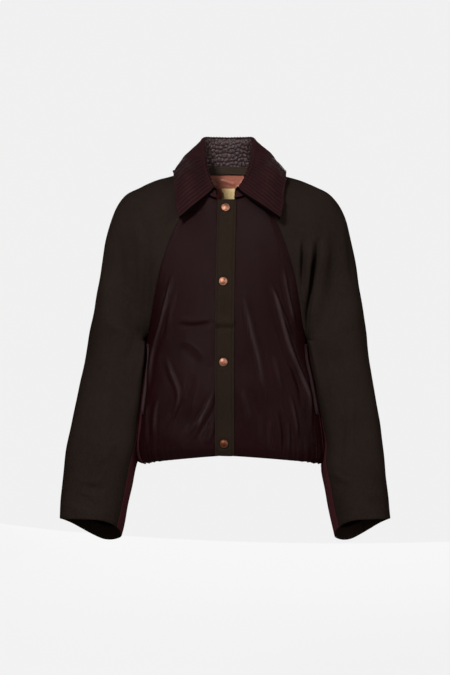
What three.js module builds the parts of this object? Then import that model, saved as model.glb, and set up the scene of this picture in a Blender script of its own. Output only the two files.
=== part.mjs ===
// A collared bomber jacket with raglan sleeves, filled out and hollow, snapped shut in front.
// Millimetres, +Z up. The wearer faces -Y, so the wearer's left is +X. The origin is at the base
// of the neck, between the shoulders. Every panel is a wall of cloth worked out from the
// garment's own sections: level rows round the body, and rings along each sleeve.
import * as THREE from "three";

// ---- Driving dimensions ----
const CLOTH = 1.4; // thickness of one panel
const SEAM_GAP = 0.3; // clearance between neighbouring pieces
const LAYER = CLOTH + SEAM_GAP; // step from one layer of cloth to the next
const ARMHOLE_INSET = 0.6; // extra clearance where sleeve and body turn back on each other
const DEGREE = Math.PI / 180;

const SIDE_Y = -8; // where the sides of the body stand, front to back
const SQUARENESS = 2.4; // 2 is an ellipse, more is squarer
const SIDE_SEAM_LOW = 67 * DEGREE; // the side seam, round from the centre front
const HEM_FRONT = -497.5;
const HEM_SIDE = -516;
const HEM_BACK = -513;
const NECK_FRONT = -34;
const NECK_BACK = 33;

const PLACKET_MIDDLE = -6.5;
const PLACKET_WIDTH = 34.5;
const PLACKET_OVERLAP = 5; // how far the placket lies over each front
const SNAP_HEIGHTS = [-50, -184, -329, -475.5];
const SNAP_RADIUS = 7.8;
const SNAP_RISE = 2.8;

const COLLAR_ROLL = 4; // radius of the fold at the top of the collar
const COLLAR_LIFT_BACK = 0.8; // the stand's clearance above the neck seam, behind and in front
const COLLAR_LIFT_FRONT = 3;
const COLLAR_NECK_SHARE = 0.985; // the collar stops this share of the way to the front edge
const TAPE_WIDTH = 15.5;
const TAPE_SHARE = 0.4; // share of the neck seam that the tape covers on each side
const LINING_BOTTOM = -105;
const LINING_SPREAD = 4 * DEGREE; // how far it starts behind the raglan seam
const LINING_SIDE = 0.02; // share of its width turned in at each side
const LABEL_WIDTH = 25;
const LABEL_TOP = 0;
const LABEL_BOTTOM = -24;
const POCKET_BOTTOM_ROW = 4; // rows of the body between which the pocket opens
const POCKET_TOP_ROW = 9.75;
const POCKET_SHARE = 0.09; // width of the pocket welt, as a share of the front
const POCKET_OUTER = 0.985; // share of the front at which its outer edge lies

const COLOURS = {
  aubergine: 0x2b1819,
  olive: 0x322a26,
  wine: 0x3a1d20,
  collar: 0x321d1d,
  placket: 0x2e2520,
  copper_satin: 0x6a3d31,
  gold: 0xb59a62,
  copper_metal: 0x8a6a52,
};

// Level rows round the body: half-widths to each side, and depths in front and behind.
const BODY = [
  { z: -520, right: 164, left: 174, front: 103, back: 106 },
  { z: -505, right: 172, left: 183, front: 111, back: 116 },
  { z: -484, right: 176, left: 184, front: 118, back: 124 },
  { z: -430, right: 171, left: 177, front: 121, back: 126 },
  { z: -360, right: 162, left: 163, front: 122, back: 125 },
  { z: -290, right: 155, left: 147, front: 120, back: 124 },
  { z: -210, right: 156, left: 148, front: 117, back: 123 },
  { z: -160, right: 158, left: 149, front: 112, back: 121 },
  { z: -110, right: 160, left: 151, front: 104, back: 116 },
  { z: -70, right: 158, left: 151, front: 93, back: 109 },
  { z: -34, right: 154, left: 150, front: 79, back: 101 },
  { z: 0, right: 150, left: 149, front: 64, back: 90 },
  { z: 40, right: 142, left: 142, front: 50, back: 78 },
];

// The raglan seams from the neck to the underarm, as angles round the body from the centre
// front. Above the sleeve's first ring, outer is the outermost point of the shoulder that each
// pair of points faces, and open the angle at which its curve leaves the front seam.
const RAGLAN = [
  { front: 15, frontZ: -12, back: 166, backZ: 31, outer: 63, outerY: 6, outerZ: 32, open: 92 },
  { front: 19, frontZ: -24, back: 162, backZ: 12, outer: 98, outerY: 5, outerZ: 17.5, open: 96 },
  { front: 25, frontZ: -46, back: 157, backZ: -18, outer: 131, outerY: 4, outerZ: 9, open: 100 },
  { front: 32, frontZ: -80, back: 150, backZ: -58, outer: 163, outerY: 2, outerZ: -4.5, open: 102 },
  { front: 41, frontZ: -124, back: 142, backZ: -108, outer: 195, outerY: 0, outerZ: -24, open: 102 },
  { front: 50, frontZ: -170, back: 135, backZ: -160, outer: 218, outerY: 0, outerZ: -66, open: 98 },
  { front: 58, frontZ: -222, back: 128, backZ: -214, outer: 235, outerY: 0, outerZ: -142, open: 90 },
  { front: 67, frontZ: -270, back: 109, backZ: -272 },
  { front: 80, frontZ: -292, back: 80, backZ: -292 },
];

// Rings of the free sleeve, from just above the underarm to the cuff. rake lifts the front of
// the ring and tilt lifts its outer side; seam is where the inner seam stands on the ring.
const SLEEVE = [
  { z: -251, inR: 158, outR: 249, inL: 150, outL: 249, y: -1, depth: 79, rake: 0, tilt: 25, seam: 30 },
  { z: -284, inR: 164, outR: 258, inL: 157, outL: 256, y: -2, depth: 78, rake: 0, tilt: 12, seam: 25 },
  { z: -322, inR: 166, outR: 265, inL: 164, outL: 261, y: -4, depth: 75, rake: 0, tilt: 9, seam: 20 },
  { z: -372, inR: 170, outR: 275, inL: 172, outL: 268, y: -8, depth: 72, rake: 2, tilt: 8, seam: 14 },
  { z: -425, inR: 177, outR: 287, inL: 183, outL: 277, y: -14, depth: 68, rake: 5, tilt: 8, seam: 10 },
  { z: -475, inR: 181, outR: 297, inL: 189, outL: 284, y: -22, depth: 65, rake: 8, tilt: 8, seam: 12 },
  { z: -512, inR: 180, outR: 302, inL: 188, outL: 287, y: -31, depth: 62, rake: 11, tilt: 9, seam: 17 },
  { z: -550, inR: 182, outR: 306, inL: 182, outL: 290, y: -40, depth: 59, rake: 15, tilt: 11, seam: 21 },
  { z: -592, inR: 189, outR: 309, inL: 186, outL: 294, y: -50, depth: 56, rake: 19, tilt: 13, seam: 23 },
  { z: -633, inR: 198, outR: 310, inL: 194, outL: 297, y: -60, depth: 54, rake: 22, tilt: 14, seam: 24 },
];

// The collar, from the centre back round to its front end: along is the share of the neck
// seam, roll the top of the fold, edge the outer edge, crown the swell of the fall.
const COLLAR = [
  { along: 0, roll: [0, 67, 95], edge: [0, 101, 31], crown: [0, 5, 5] },
  { along: 0.12, roll: [28, 62, 95], edge: [42, 96, 31], crown: [2, 5, 5] },
  { along: 0.3, roll: [48, 46, 91], edge: [83, 67, 35], crown: [5, 3, 6] },
  { along: 0.45, roll: [48, 17, 66], edge: [101, 22, 27], crown: [7, 1, 7] },
  { along: 0.6, roll: [44, -12, 37], edge: [103, -26, 17], crown: [5, -3, 13] },
  { along: 0.7, roll: [39, -33, 21], edge: [100, -64, -8], crown: [5, -12, 18] },
  { along: 0.82, roll: [32, -56, 5], edge: [96, -90, -41], crown: [3, -15, 15] },
  { along: 1, roll: [24, -74, -9], edge: [88, -107, -69], crown: [0, -15, 5] },
];
const COLLAR_FRONT_SHIFT = -5; // the closed fronts draw the collar's ends towards the right

// The largest folds of the panels: angle round the body and height at each end, half-width
// and rise, a trough where the rise is negative.
const BODY_FOLDS = [
  { from: [-44, -180], to: [-58, -290], width: 13, rise: 4 },
  { from: [-40, -330], to: [-34, -450], width: 15, rise: 4 },
  { from: [-6, -350], to: [-24, -440], width: 13, rise: -3.5 },
  { from: [40, -290], to: [52, -440], width: 14, rise: 4.5 },
  { from: [18, -260], to: [33, -400], width: 15, rise: -3.5 },
  { from: [-68, -340], to: [-62, -470], width: 14, rise: 3.5 },
  { from: [118, -300], to: [134, -440], width: 16, rise: -4 },
  { from: [228, -310], to: [222, -450], width: 16, rise: 4 },
  { from: [150, -240], to: [170, -420], width: 18, rise: 3.5 },
  { from: [212, -200], to: [196, -330], width: 17, rise: -3.5 },
  { from: [192, -380], to: [200, -490], width: 15, rise: 4 },
];

// The largest folds of each sleeve: station along the sleeve and share round it at each end.
const SLEEVE_FOLDS = [
  { side: "right", from: [3.5, 0.3], to: [8.5, 0.22], width: 0.08, rise: -4 },
  { side: "right", from: [9.5, 0.36], to: [13.5, 0.28], width: 0.08, rise: 3.5 },
  { side: "right", from: [9, 0.6], to: [13, 0.56], width: 0.08, rise: -3.5 },
  { side: "left", from: [3.5, 0.33], to: [8.6, 0.2], width: 0.09, rise: -6 },
  { side: "left", from: [9.2, 0.34], to: [13.4, 0.28], width: 0.08, rise: 4 },
  { side: "left", from: [9, 0.58], to: [13, 0.62], width: 0.08, rise: -3.5 },
];

// ---- Numbers and curves ----
const mix = (a, b, t) => a + (b - a) * t;
const clamp = (value, low, high) => Math.min(high, Math.max(low, value));
const vector = (list) => new THREE.Vector3(...list);
const signedPower = (value, power) => Math.sign(value) * Math.abs(value) ** power;

// A smooth value at x through the points (xs, ys), with no bend at either end.
function smoothAt(xs, ys, x) {
  const last = xs.length - 1;
  const place = clamp(x, xs[0], xs[last]);
  let i = 0;
  while (i < last - 1 && place > xs[i + 1]) i += 1;
  const slope = (k) => {
    const low = Math.max(0, k - 1);
    const high = Math.min(last, k + 1);
    return (ys[high] - ys[low]) / (xs[high] - xs[low]);
  };
  const span = xs[i + 1] - xs[i];
  const t = (place - xs[i]) / span;
  const start = (1 + 2 * t) * (1 - t) ** 2 * ys[i] + t * (1 - t) ** 2 * span * slope(i);
  const end = t ** 2 * (3 - 2 * t) * ys[i + 1] + t ** 2 * (t - 1) * span * slope(i + 1);
  return start + end;
}

const column = (table, key) => table.map((row) => row[key]);
const stationNumbers = (table) => table.map((row, index) => index);

function smoothPoint(xs, points, x) {
  const along = (axis) => smoothAt(xs, points.map((point) => point[axis]), x);
  return new THREE.Vector3(along("x"), along("y"), along("z"));
}

// How much of a fold shows at a point: one on its line, none at its edge or past its ends.
function foldShare(fold, a, b, scaleA, scaleB) {
  const [fromA, fromB] = [fold.from[0] * scaleA, fold.from[1] * scaleB];
  const [toA, toB] = [fold.to[0] * scaleA, fold.to[1] * scaleB];
  const length = Math.hypot(toA - fromA, toB - fromB);
  const offA = a * scaleA - fromA;
  const offB = b * scaleB - fromB;
  const along = (offA * (toA - fromA) + offB * (toB - fromB)) / length ** 2;
  const across = Math.abs(offA * (toB - fromB) - offB * (toA - fromA)) / length;
  if (along <= 0 || along >= 1 || across >= fold.width) return 0;
  return Math.sin(Math.PI * along) * Math.cos((across / fold.width) * (Math.PI / 2)) ** 2;
}

// ---- The body's form ----
const BODY_HEIGHTS = column(BODY, "z");
const bodyAt = (key, z) => smoothAt(BODY_HEIGHTS, column(BODY, key), z);

// A point round the body: angle 0 is the centre front, 90 degrees the wearer's left side.
function bodyPoint(angle, z) {
  const reach = bodyAt(Math.sin(angle) < 0 ? "right" : "left", z);
  const depth = bodyAt(Math.cos(angle) > 0 ? "front" : "back", z);
  const x = reach * signedPower(Math.sin(angle), 2 / SQUARENESS);
  const y = SIDE_Y - depth * signedPower(Math.cos(angle), 2 / SQUARENESS);
  return new THREE.Vector3(x, y, z);
}

// The angle at which the front of the body passes x.
function frontAngle(x, z) {
  const reach = bodyAt(x < 0 ? "right" : "left", z);
  return Math.asin(signedPower(x / reach, SQUARENESS / 2));
}

// Folds die away towards the seams, so that neighbouring panels still meet.
function foldedBodyPoint(angle, z, edgeShare) {
  const point = bodyPoint(angle, z);
  const outward = new THREE.Vector3(point.x, point.y - SIDE_Y, 0).normalize();
  const millimetresPerDegree = 2.3;
  const turn = angle / DEGREE;
  const rise = BODY_FOLDS.reduce(
    (sum, fold) => sum + fold.rise * foldShare(fold, turn, z, millimetresPerDegree, 1),
    0,
  );
  return point.addScaledVector(outward, rise * Math.sin(Math.PI * edgeShare) ** 0.5);
}

// ---- Seams that the body and the sleeves share ----
const RAGLAN_STATIONS = stationNumbers(RAGLAN);
const UNDERARM = RAGLAN.length - 1;
const raglanAt = (key, station) => smoothAt(RAGLAN_STATIONS, column(RAGLAN, key), station);

function raglanPoint(sign, face, station) {
  const angle = raglanAt(face, station) * DEGREE;
  return bodyPoint(sign * angle, raglanAt(`${face}Z`, station));
}

// The side seam's angle: it leaves the underarm and swings forward over the pocket.
function sideSeamAngle(z) {
  const top = RAGLAN[UNDERARM].frontZ;
  const swing = clamp((top - z) / 60, 0, 1);
  return mix(RAGLAN[UNDERARM].front * DEGREE, SIDE_SEAM_LOW, swing * (2 - swing));
}

// Both panels of the body climb in rows from the hem to the underarm and on to the neck.
const SIDE_ROWS = 10;
const RAGLAN_ROWS = 12;
const BODY_ROWS = SIDE_ROWS + RAGLAN_ROWS;

// The side edge of a body panel at one row, as an angle and a height.
function bodyEdge(face, row) {
  const top = RAGLAN[UNDERARM].frontZ;
  if (row <= SIDE_ROWS) {
    const z = mix(HEM_SIDE, top, row / SIDE_ROWS);
    return { angle: sideSeamAngle(z), z };
  }
  const station = UNDERARM * (1 - (row - SIDE_ROWS) / RAGLAN_ROWS);
  return { angle: raglanAt(face, station) * DEGREE, z: raglanAt(`${face}Z`, station) };
}

// The height of a body row at the centre front or back.
function middleHeight(hem, neck, row) {
  const underarm = RAGLAN[UNDERARM].frontZ + 4;
  if (row <= SIDE_ROWS) return mix(hem, underarm, row / SIDE_ROWS);
  return mix(underarm, neck, (row - SIDE_ROWS) / RAGLAN_ROWS);
}

// ---- Walls of cloth ----
function surfaceNormals(grid) {
  return grid.map((row, r) =>
    row.map((point, c) => {
      const around = row[Math.min(row.length - 1, c + 1)].clone().sub(row[Math.max(0, c - 1)]);
      const above = grid[Math.min(grid.length - 1, r + 1)][c];
      const below = grid[Math.max(0, r - 1)][c];
      return around.cross(above.clone().sub(below)).normalize();
    }),
  );
}

// Draws the rim of a grid in by the clearances given for its first and last rows and columns.
function insetGrid(grid, inset) {
  const lastRow = grid.length - 1;
  const lastColumn = grid[0].length - 1;
  const { first = 0, last = 0, start = 0, end = 0 } = inset;
  const amount = (value, row) => (typeof value === "function" ? value(row) : value);
  return grid.map((row, r) =>
    row.map((point, c) => {
      const moved = point.clone();
      const towards = (neighbour, distance) => {
        const step = neighbour.clone().sub(point);
        moved.addScaledVector(step.normalize(), distance);
      };
      if (c === 0) towards(row[1], amount(start, r));
      if (c === lastColumn) towards(row[c - 1], amount(end, r));
      if (r === 0) towards(grid[1][c], first);
      if (r === lastRow) towards(grid[r - 1][c], last);
      return moved;
    }),
  );
}

// A closed wall between two offsets from a grid of points, along the grid's own normals.
function wall(grid, near, far, inset = {}) {
  const normals = surfaceNormals(grid);
  const points = insetGrid(grid, inset);
  const rows = points.length;
  const columns = points[0].length;
  const positions = [];
  for (const offset of [near, far]) {
    points.forEach((row, r) =>
      row.forEach((point, c) => {
        const placed = point.clone().addScaledVector(normals[r][c], offset);
        positions.push(placed.x, placed.y, placed.z);
      }),
    );
  }
  const nearAt = (r, c) => r * columns + c;
  const farAt = (r, c) => rows * columns + nearAt(r, c);
  const faces = [];
  const quad = (a, b, c, d) => faces.push(a, b, c, a, c, d);
  // Each square of cloth is folded along the shorter of its diagonals.
  const square = (at, r, c, outward) => {
    const corners = [at(r, c), at(r, c + 1), at(r + 1, c + 1), at(r + 1, c)];
    const rising = grid[r][c].distanceTo(grid[r + 1][c + 1]);
    const falling = grid[r][c + 1].distanceTo(grid[r + 1][c]);
    if (falling < rising) corners.push(corners.shift());
    const [first, second, third, fourth] = corners;
    if (outward) quad(first, second, third, fourth);
    else quad(first, fourth, third, second);
  };
  for (let r = 0; r < rows - 1; r += 1) {
    for (let c = 0; c < columns - 1; c += 1) {
      square(farAt, r, c, true);
      square(nearAt, r, c, false);
    }
    const c = columns - 1;
    quad(farAt(r, 0), farAt(r + 1, 0), nearAt(r + 1, 0), nearAt(r, 0));
    quad(farAt(r, c), nearAt(r, c), nearAt(r + 1, c), farAt(r + 1, c));
  }
  for (let c = 0; c < columns - 1; c += 1) {
    const r = rows - 1;
    quad(farAt(0, c), nearAt(0, c), nearAt(0, c + 1), farAt(0, c + 1));
    quad(farAt(r, c), farAt(r, c + 1), nearAt(r, c + 1), nearAt(r, c));
  }
  const geometry = new THREE.BufferGeometry();
  geometry.setAttribute("position", new THREE.Float32BufferAttribute(positions, 3));
  geometry.setIndex(faces);
  geometry.computeVertexNormals();
  return geometry;
}

const flipColumns = (grid) => grid.map((row) => [...row].reverse());

// A grid whose point at row r and column c is given by a function of the two shares.
function gridOf(rows, columns, pointAt) {
  return Array.from({ length: rows + 1 }, (_, r) =>
    Array.from({ length: columns + 1 }, (_, c) => pointAt(r / rows, c / columns)),
  );
}

const group = new THREE.Group();

function addPiece(name, geometry, colour, roughness, metalness = 0) {
  const material = new THREE.MeshStandardMaterial({
    color: COLOURS[colour],
    roughness,
    metalness,
    side: THREE.DoubleSide,
  });
  const mesh = new THREE.Mesh(geometry, material);
  mesh.name = name;
  group.add(mesh);
  return mesh;
}

// Clearance along a body panel's side edge, wider where it turns back on the sleeve.
function bodyEdgeInset(r) {
  const pastUnderarm = (r - SIDE_ROWS) / RAGLAN_ROWS;
  if (pastUnderarm <= 0) return SEAM_GAP / 2;
  return mix(ARMHOLE_INSET, SEAM_GAP / 2, clamp(pastUnderarm * 1.5, 0, 1));
}

// ---- Fronts ----
const FRONT_COLUMNS = 8;
const placketEdge = (sign) => PLACKET_MIDDLE + (sign * PLACKET_WIDTH) / 2;
const frontStart = (sign) => placketEdge(sign) - sign * PLACKET_OVERLAP;

// A front's point by row and by share of the way from its centre edge to its side edge.
function frontPoint(sign, row, share) {
  const edge = bodyEdge("front", row);
  const middle = middleHeight(HEM_FRONT, NECK_FRONT, row);
  const scoop = 1 + row / BODY_ROWS; // the neckline rises more steeply as it nears the shoulder
  const z = mix(middle, edge.z, share ** scoop);
  const centre = frontAngle(frontStart(sign), z);
  return foldedBodyPoint(mix(centre, sign * edge.angle, share), z, share * 0.98 + 0.01);
}

function addFront(name, sign) {
  const grid = gridOf(BODY_ROWS, FRONT_COLUMNS, (up, across) =>
    frontPoint(sign, up * BODY_ROWS, across),
  );
  const placed = sign > 0 ? grid : flipColumns(grid);
  const centre = SEAM_GAP / 2;
  const inset = sign > 0 ? { start: centre, end: bodyEdgeInset } : { start: bodyEdgeInset, end: centre };
  const edges = { ...inset, last: SEAM_GAP };
  addPiece(name, wall(placed, -CLOTH / 2, CLOTH / 2, edges), "aubergine", 0.55);
}

// ---- Back, which wraps round to the side seams ----
const BACK_COLUMNS = 16;

function backPoint(row, share) {
  const sign = share < 0.5 ? 1 : -1;
  const edge = bodyEdge("back", row);
  const fromEdge = 1 - Math.abs(2 * share - 1); // 0 at a side edge, 1 at the centre back
  const middle = middleHeight(HEM_BACK, NECK_BACK, row);
  const z = mix(edge.z, middle, Math.sin((fromEdge * Math.PI) / 2));
  const turned = mix(edge.angle, Math.PI, fromEdge);
  const angle = sign > 0 ? turned : 2 * Math.PI - turned;
  return foldedBodyPoint(angle, z, share);
}

function addBack() {
  const grid = gridOf(BODY_ROWS, BACK_COLUMNS, (up, across) => backPoint(up * BODY_ROWS, across));
  const edges = { start: bodyEdgeInset, end: bodyEdgeInset, last: SEAM_GAP };
  addPiece("back", wall(grid, -CLOTH / 2, CLOTH / 2, edges), "wine", 0.5);
}

// ---- Sleeves ----
const RINGS_START = UNDERARM - 1; // the first ring stands one station above the underarm
const SLEEVE_STATIONS = RINGS_START + SLEEVE.length - 1;
const ARM_ROWS = 10;
const ARM_POWER = 0.86; // 1 is an ellipse, less is squarer
const SECTION_SPACES = 8; // spaces between the points that a sleeve's section runs through
const SECTION_NUMBERS = Array.from({ length: SECTION_SPACES + 1 }, (_, k) => k);
const RING_TURNS = [60, 92, 132, 180, 226, 264, 306]; // where a ring's section points stand

// The sleeve's side of the raglan seam, which comes to lie over the body at the underarm.
function sleeveSeamPoint(sign, face, station) {
  const point = raglanPoint(sign, face, station);
  const outward = new THREE.Vector3(point.x, point.y - SIDE_Y, 0).normalize();
  return point.addScaledVector(outward, LAYER * clamp((station - 4) / 4, 0, 1));
}

// The section above the underarm: an ellipse through the front raglan seam, the outside of
// the shoulder and the back raglan seam.
function shoulderSection(sign, station) {
  const row = RAGLAN[station];
  const front = sleeveSeamPoint(sign, "front", station);
  const back = sleeveSeamPoint(sign, "back", station);
  const outer = new THREE.Vector3(sign * row.outer, row.outerY, row.outerZ);
  const start = row.open * DEGREE;
  const halfway = front.clone().add(back).multiplyScalar(0.5);
  const centre = halfway.addScaledVector(outer, Math.cos(start)).divideScalar(1 + Math.cos(start));
  const across = outer.sub(centre);
  const forward = front.sub(back).multiplyScalar(0.5 / Math.sin(start));
  return Array.from({ length: SECTION_SPACES + 1 }, (_, k) => {
    const angle = mix(start, 2 * Math.PI - start, k / SECTION_SPACES);
    return centre
      .clone()
      .addScaledVector(across, -Math.cos(angle))
      .addScaledVector(forward, Math.sin(angle));
  });
}

// The section of the free sleeve: a squarish ring that starts and ends at the inner seam.
function ringSection(sign, ring) {
  const row = SLEEVE[ring];
  const inner = sign > 0 ? row.inL : row.inR;
  const outer = sign > 0 ? row.outL : row.outR;
  const half = (outer - inner) / 2;
  return [row.seam, ...RING_TURNS, row.seam].map((turn) => {
    const across = signedPower(-Math.cos(turn * DEGREE), ARM_POWER);
    const forward = signedPower(Math.sin(turn * DEGREE), ARM_POWER);
    return new THREE.Vector3(
      sign * (inner + half + half * across),
      row.y - row.depth * forward,
      row.z + row.tilt * across + row.rake * forward,
    );
  });
}

function sleeveSections(sign) {
  const shoulder = RAGLAN_STATIONS.slice(0, RINGS_START).map((k) => shoulderSection(sign, k));
  return [...shoulder, ...SLEEVE.map((row, ring) => ringSection(sign, ring))];
}

const SECTIONS = { "-1": sleeveSections(-1), 1: sleeveSections(1) };

// A sleeve's section at any station. Down to the underarm its ends are the raglan seams.
function sectionAt(sign, station) {
  const sections = SECTIONS[sign];
  const stations = stationNumbers(sections);
  const points = SECTION_NUMBERS.map((k) => smoothPoint(stations, column(sections, k), station));
  const seam = Math.min(station, UNDERARM);
  const freed = clamp(station - UNDERARM, 0, 1);
  points[0].lerp(sleeveSeamPoint(sign, "front", seam), 1 - freed);
  points[SECTION_SPACES].lerp(sleeveSeamPoint(sign, "back", seam), 1 - freed);
  return points;
}

// A point of a sleeve by station along it and share round it, 0 at the front or inner seam.
function plainSleevePoint(sign, station, share) {
  const points = sectionAt(sign, station);
  const closed = station >= UNDERARM;
  const beyond = (end, next) => end.clone().multiplyScalar(2).sub(next);
  const before = closed ? points[SECTION_SPACES - 1] : beyond(points[0], points[1]);
  const after = closed
    ? points[1]
    : beyond(points[SECTION_SPACES], points[SECTION_SPACES - 1]);
  const extended = [before, ...points, after];
  const place = (share > 1 ? share - 1 : share) * SECTION_SPACES + 1;
  return smoothPoint(stationNumbers(extended), extended, place);
}

const SHARE_PER_STATION = 0.13; // a station is about as long as this share of the girth

function sleevePoint(sign, station, share) {
  const point = plainSleevePoint(sign, station, share);
  const side = sign > 0 ? "left" : "right";
  const rise = SLEEVE_FOLDS.filter((fold) => fold.side === side).reduce(
    (sum, fold) => sum + fold.rise * foldShare(fold, station, share, SHARE_PER_STATION, 1),
    0,
  );
  return point.addScaledVector(new THREE.Vector3(sign * 0.5, share < 0.5 ? -1 : 1, 0).normalize(), rise);
}

// The wine under sleeve fills the back of the arm from a point on the back raglan seam.
const UNDER_TOP = (UNDERARM * (RAGLAN_ROWS - 2)) / RAGLAN_ROWS;
const UNDER_FULL = UNDERARM + 2.5;
const UNDER_TIP = 0.008; // shares of the sleeve's girth at the panel's tip and full width
const UNDER_SHARE = 0.3;
const CUFF_WRAP = 0.006; // how far the under sleeve comes forward past the inner seam

function backSeamShare(station) {
  if (station < UNDER_TOP - 0.01) return 1;
  const opened = clamp((station - UNDER_TOP) / (UNDER_FULL - UNDER_TOP), 0, 1);
  return 1 - UNDER_TIP - UNDER_SHARE * opened * (2 - opened);
}

function innerSeamShare(station) {
  return CUFF_WRAP * clamp((station - UNDERARM) / 5, 0, 1);
}

// Clearance of a sleeve's edge down to the last station of its raglan seam, wider where the
// sleeve turns back on the body.
function raglanInset(station, lastStation) {
  if (station > lastStation + 0.01) return station < UNDER_FULL ? 2 * SEAM_GAP : SEAM_GAP;
  return mix(ARMHOLE_INSET, SEAM_GAP / 2, clamp((UNDERARM - station) / 5, 0, 1));
}

// Rows of a sleeve: those of the raglan seams, which the body shares, then those of the arm.
const SLEEVE_ROWS = Array.from({ length: RAGLAN_ROWS + ARM_ROWS + 1 }, (_, r) =>
  r <= RAGLAN_ROWS
    ? (UNDERARM * r) / RAGLAN_ROWS
    : mix(UNDERARM, SLEEVE_STATIONS, (r - RAGLAN_ROWS) / ARM_ROWS),
);

function addSleevePanel(name, sign, layout) {
  const { from, columns, start, end, startRaglan, endRaglan, colour, roughness } = layout;
  const stations = SLEEVE_ROWS.filter((station) => station >= from);
  const grid = stations.map((station) =>
    Array.from({ length: columns + 1 }, (_, c) =>
      sleevePoint(sign, station, mix(start(station), end(station), c / columns)),
    ),
  );
  const placed = sign > 0 ? flipColumns(grid) : grid;
  const startInset = (r) => raglanInset(stations[r], startRaglan);
  const endInset = (r) => raglanInset(stations[r], endRaglan);
  const sides = sign > 0 ? { start: endInset, end: startInset } : { start: startInset, end: endInset };
  const edges = { ...sides, first: SEAM_GAP };
  addPiece(name, wall(placed, -CLOTH / 2, CLOTH / 2, edges), colour, roughness);
}

function addSleeve(side, sign) {
  addSleevePanel(`sleeve_upper_${side}`, sign, {
    from: 0,
    columns: 15,
    startRaglan: UNDERARM,
    endRaglan: UNDER_TOP - 0.1,
    start: innerSeamShare,
    end: backSeamShare,
    colour: "olive",
    roughness: 0.7,
  });
  addSleevePanel(`sleeve_under_${side}`, sign, {
    from: UNDER_TOP - 0.01,
    columns: 6,
    startRaglan: -1,
    endRaglan: UNDERARM,
    start: backSeamShare,
    end: (station) => 1 + innerSeamShare(station),
    colour: "wine",
    roughness: 0.5,
  });
}

// ---- Collar ----
const BACK_SHARE = 0.2; // share of the neck seam along the back panel
const FRONT_SHARE = 0.8; // share at which the neck seam passes onto the front

// The neck seam on one side, from the centre back over the shoulder to the front edge.
function neckPoint(sign, along) {
  if (along < BACK_SHARE) return backPoint(BODY_ROWS, 0.5 - (sign * along) / BACK_SHARE / 2);
  if (along < FRONT_SHARE) {
    return sleevePoint(sign, 0, (FRONT_SHARE - along) / (FRONT_SHARE - BACK_SHARE));
  }
  return frontPoint(sign, BODY_ROWS, (1 - along) / (1 - FRONT_SHARE));
}

const COLLAR_PROFILE_STEPS = [0, 0.17, 0.3, 0.4, 0.5, 0.6, 0.72, 0.86, 1];

// The collar's section at one place: up the stand, over the fold and down the fall.
function collarSection(sign, along) {
  const places = column(COLLAR, "along");
  const sample = (key) => smoothPoint(places, column(COLLAR, key).map(vector), along);
  const towardFront = clamp((along - 0.55) / 0.45, 0, 1);
  const overShoulder = clamp((along - 0.35) / 0.35, 0, 1);
  const shift = new THREE.Vector3(COLLAR_FRONT_SHIFT * towardFront, 0, 0);
  const sided = (point) => new THREE.Vector3(sign * point.x, point.y, point.z);
  const neck = neckPoint(sign, along * COLLAR_NECK_SHARE);
  neck.z += mix(COLLAR_LIFT_BACK, COLLAR_LIFT_FRONT, overShoulder);
  const roll = sided(sample("roll")).add(shift);
  const edge = sided(sample("edge")).add(shift);
  const out = edge.clone().sub(roll).setZ(0).normalize().multiplyScalar(COLLAR_ROLL);
  const drop = new THREE.Vector3(0, 0, -COLLAR_ROLL);
  const inside = roll.clone().sub(out).add(drop);
  const outside = roll.clone().add(out).add(drop);
  const stand = neck.clone().lerp(inside, 0.5);
  const fall = outside.clone().lerp(edge, 0.5).add(sided(sample("crown")));
  const curve = new THREE.CatmullRomCurve3([neck, stand, inside, roll, outside, fall, edge]);
  return COLLAR_PROFILE_STEPS.map((step) => curve.getPoint(step));
}

const COLLAR_SIDE_ROWS = 10;

function collarGrid() {
  const rows = [];
  for (let k = -COLLAR_SIDE_ROWS; k <= COLLAR_SIDE_ROWS; k += 1) {
    const along = Math.abs(k) / COLLAR_SIDE_ROWS;
    rows.push(collarSection(k < 0 ? -1 : 1, along));
  }
  return rows;
}

function addCollar() {
  const grid = collarGrid();
  const under = wall(grid, SEAM_GAP / 2, SEAM_GAP / 2 + CLOTH);
  const upper = wall(grid, -SEAM_GAP / 2 - CLOTH, -SEAM_GAP / 2);
  addPiece("under_collar", under, "collar", 0.6);
  addPiece("upper_collar", upper, "collar", 0.6);
}

// ---- Placket, snaps and the strip beneath them ----
function stripGrid(fromX, toX, columns) {
  return gridOf(BODY_ROWS, columns, (up, across) => {
    const z = middleHeight(HEM_FRONT, NECK_FRONT, up * BODY_ROWS);
    return bodyPoint(frontAngle(mix(fromX, toX, across), z), z);
  });
}

function addPlacket() {
  const over = stripGrid(placketEdge(-1), placketEdge(1), 3);
  const under = stripGrid(frontStart(-1), frontStart(1), 2);
  const near = LAYER + SEAM_GAP - CLOTH / 2;
  const edges = { start: SEAM_GAP / 2, end: SEAM_GAP / 2, last: SEAM_GAP };
  addPiece("placket", wall(over, near, near + CLOTH, edges), "placket", 0.75);
  addPiece("placket_under", wall(under, -CLOTH / 2, CLOTH / 2, edges), "placket", 0.75);
}

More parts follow.
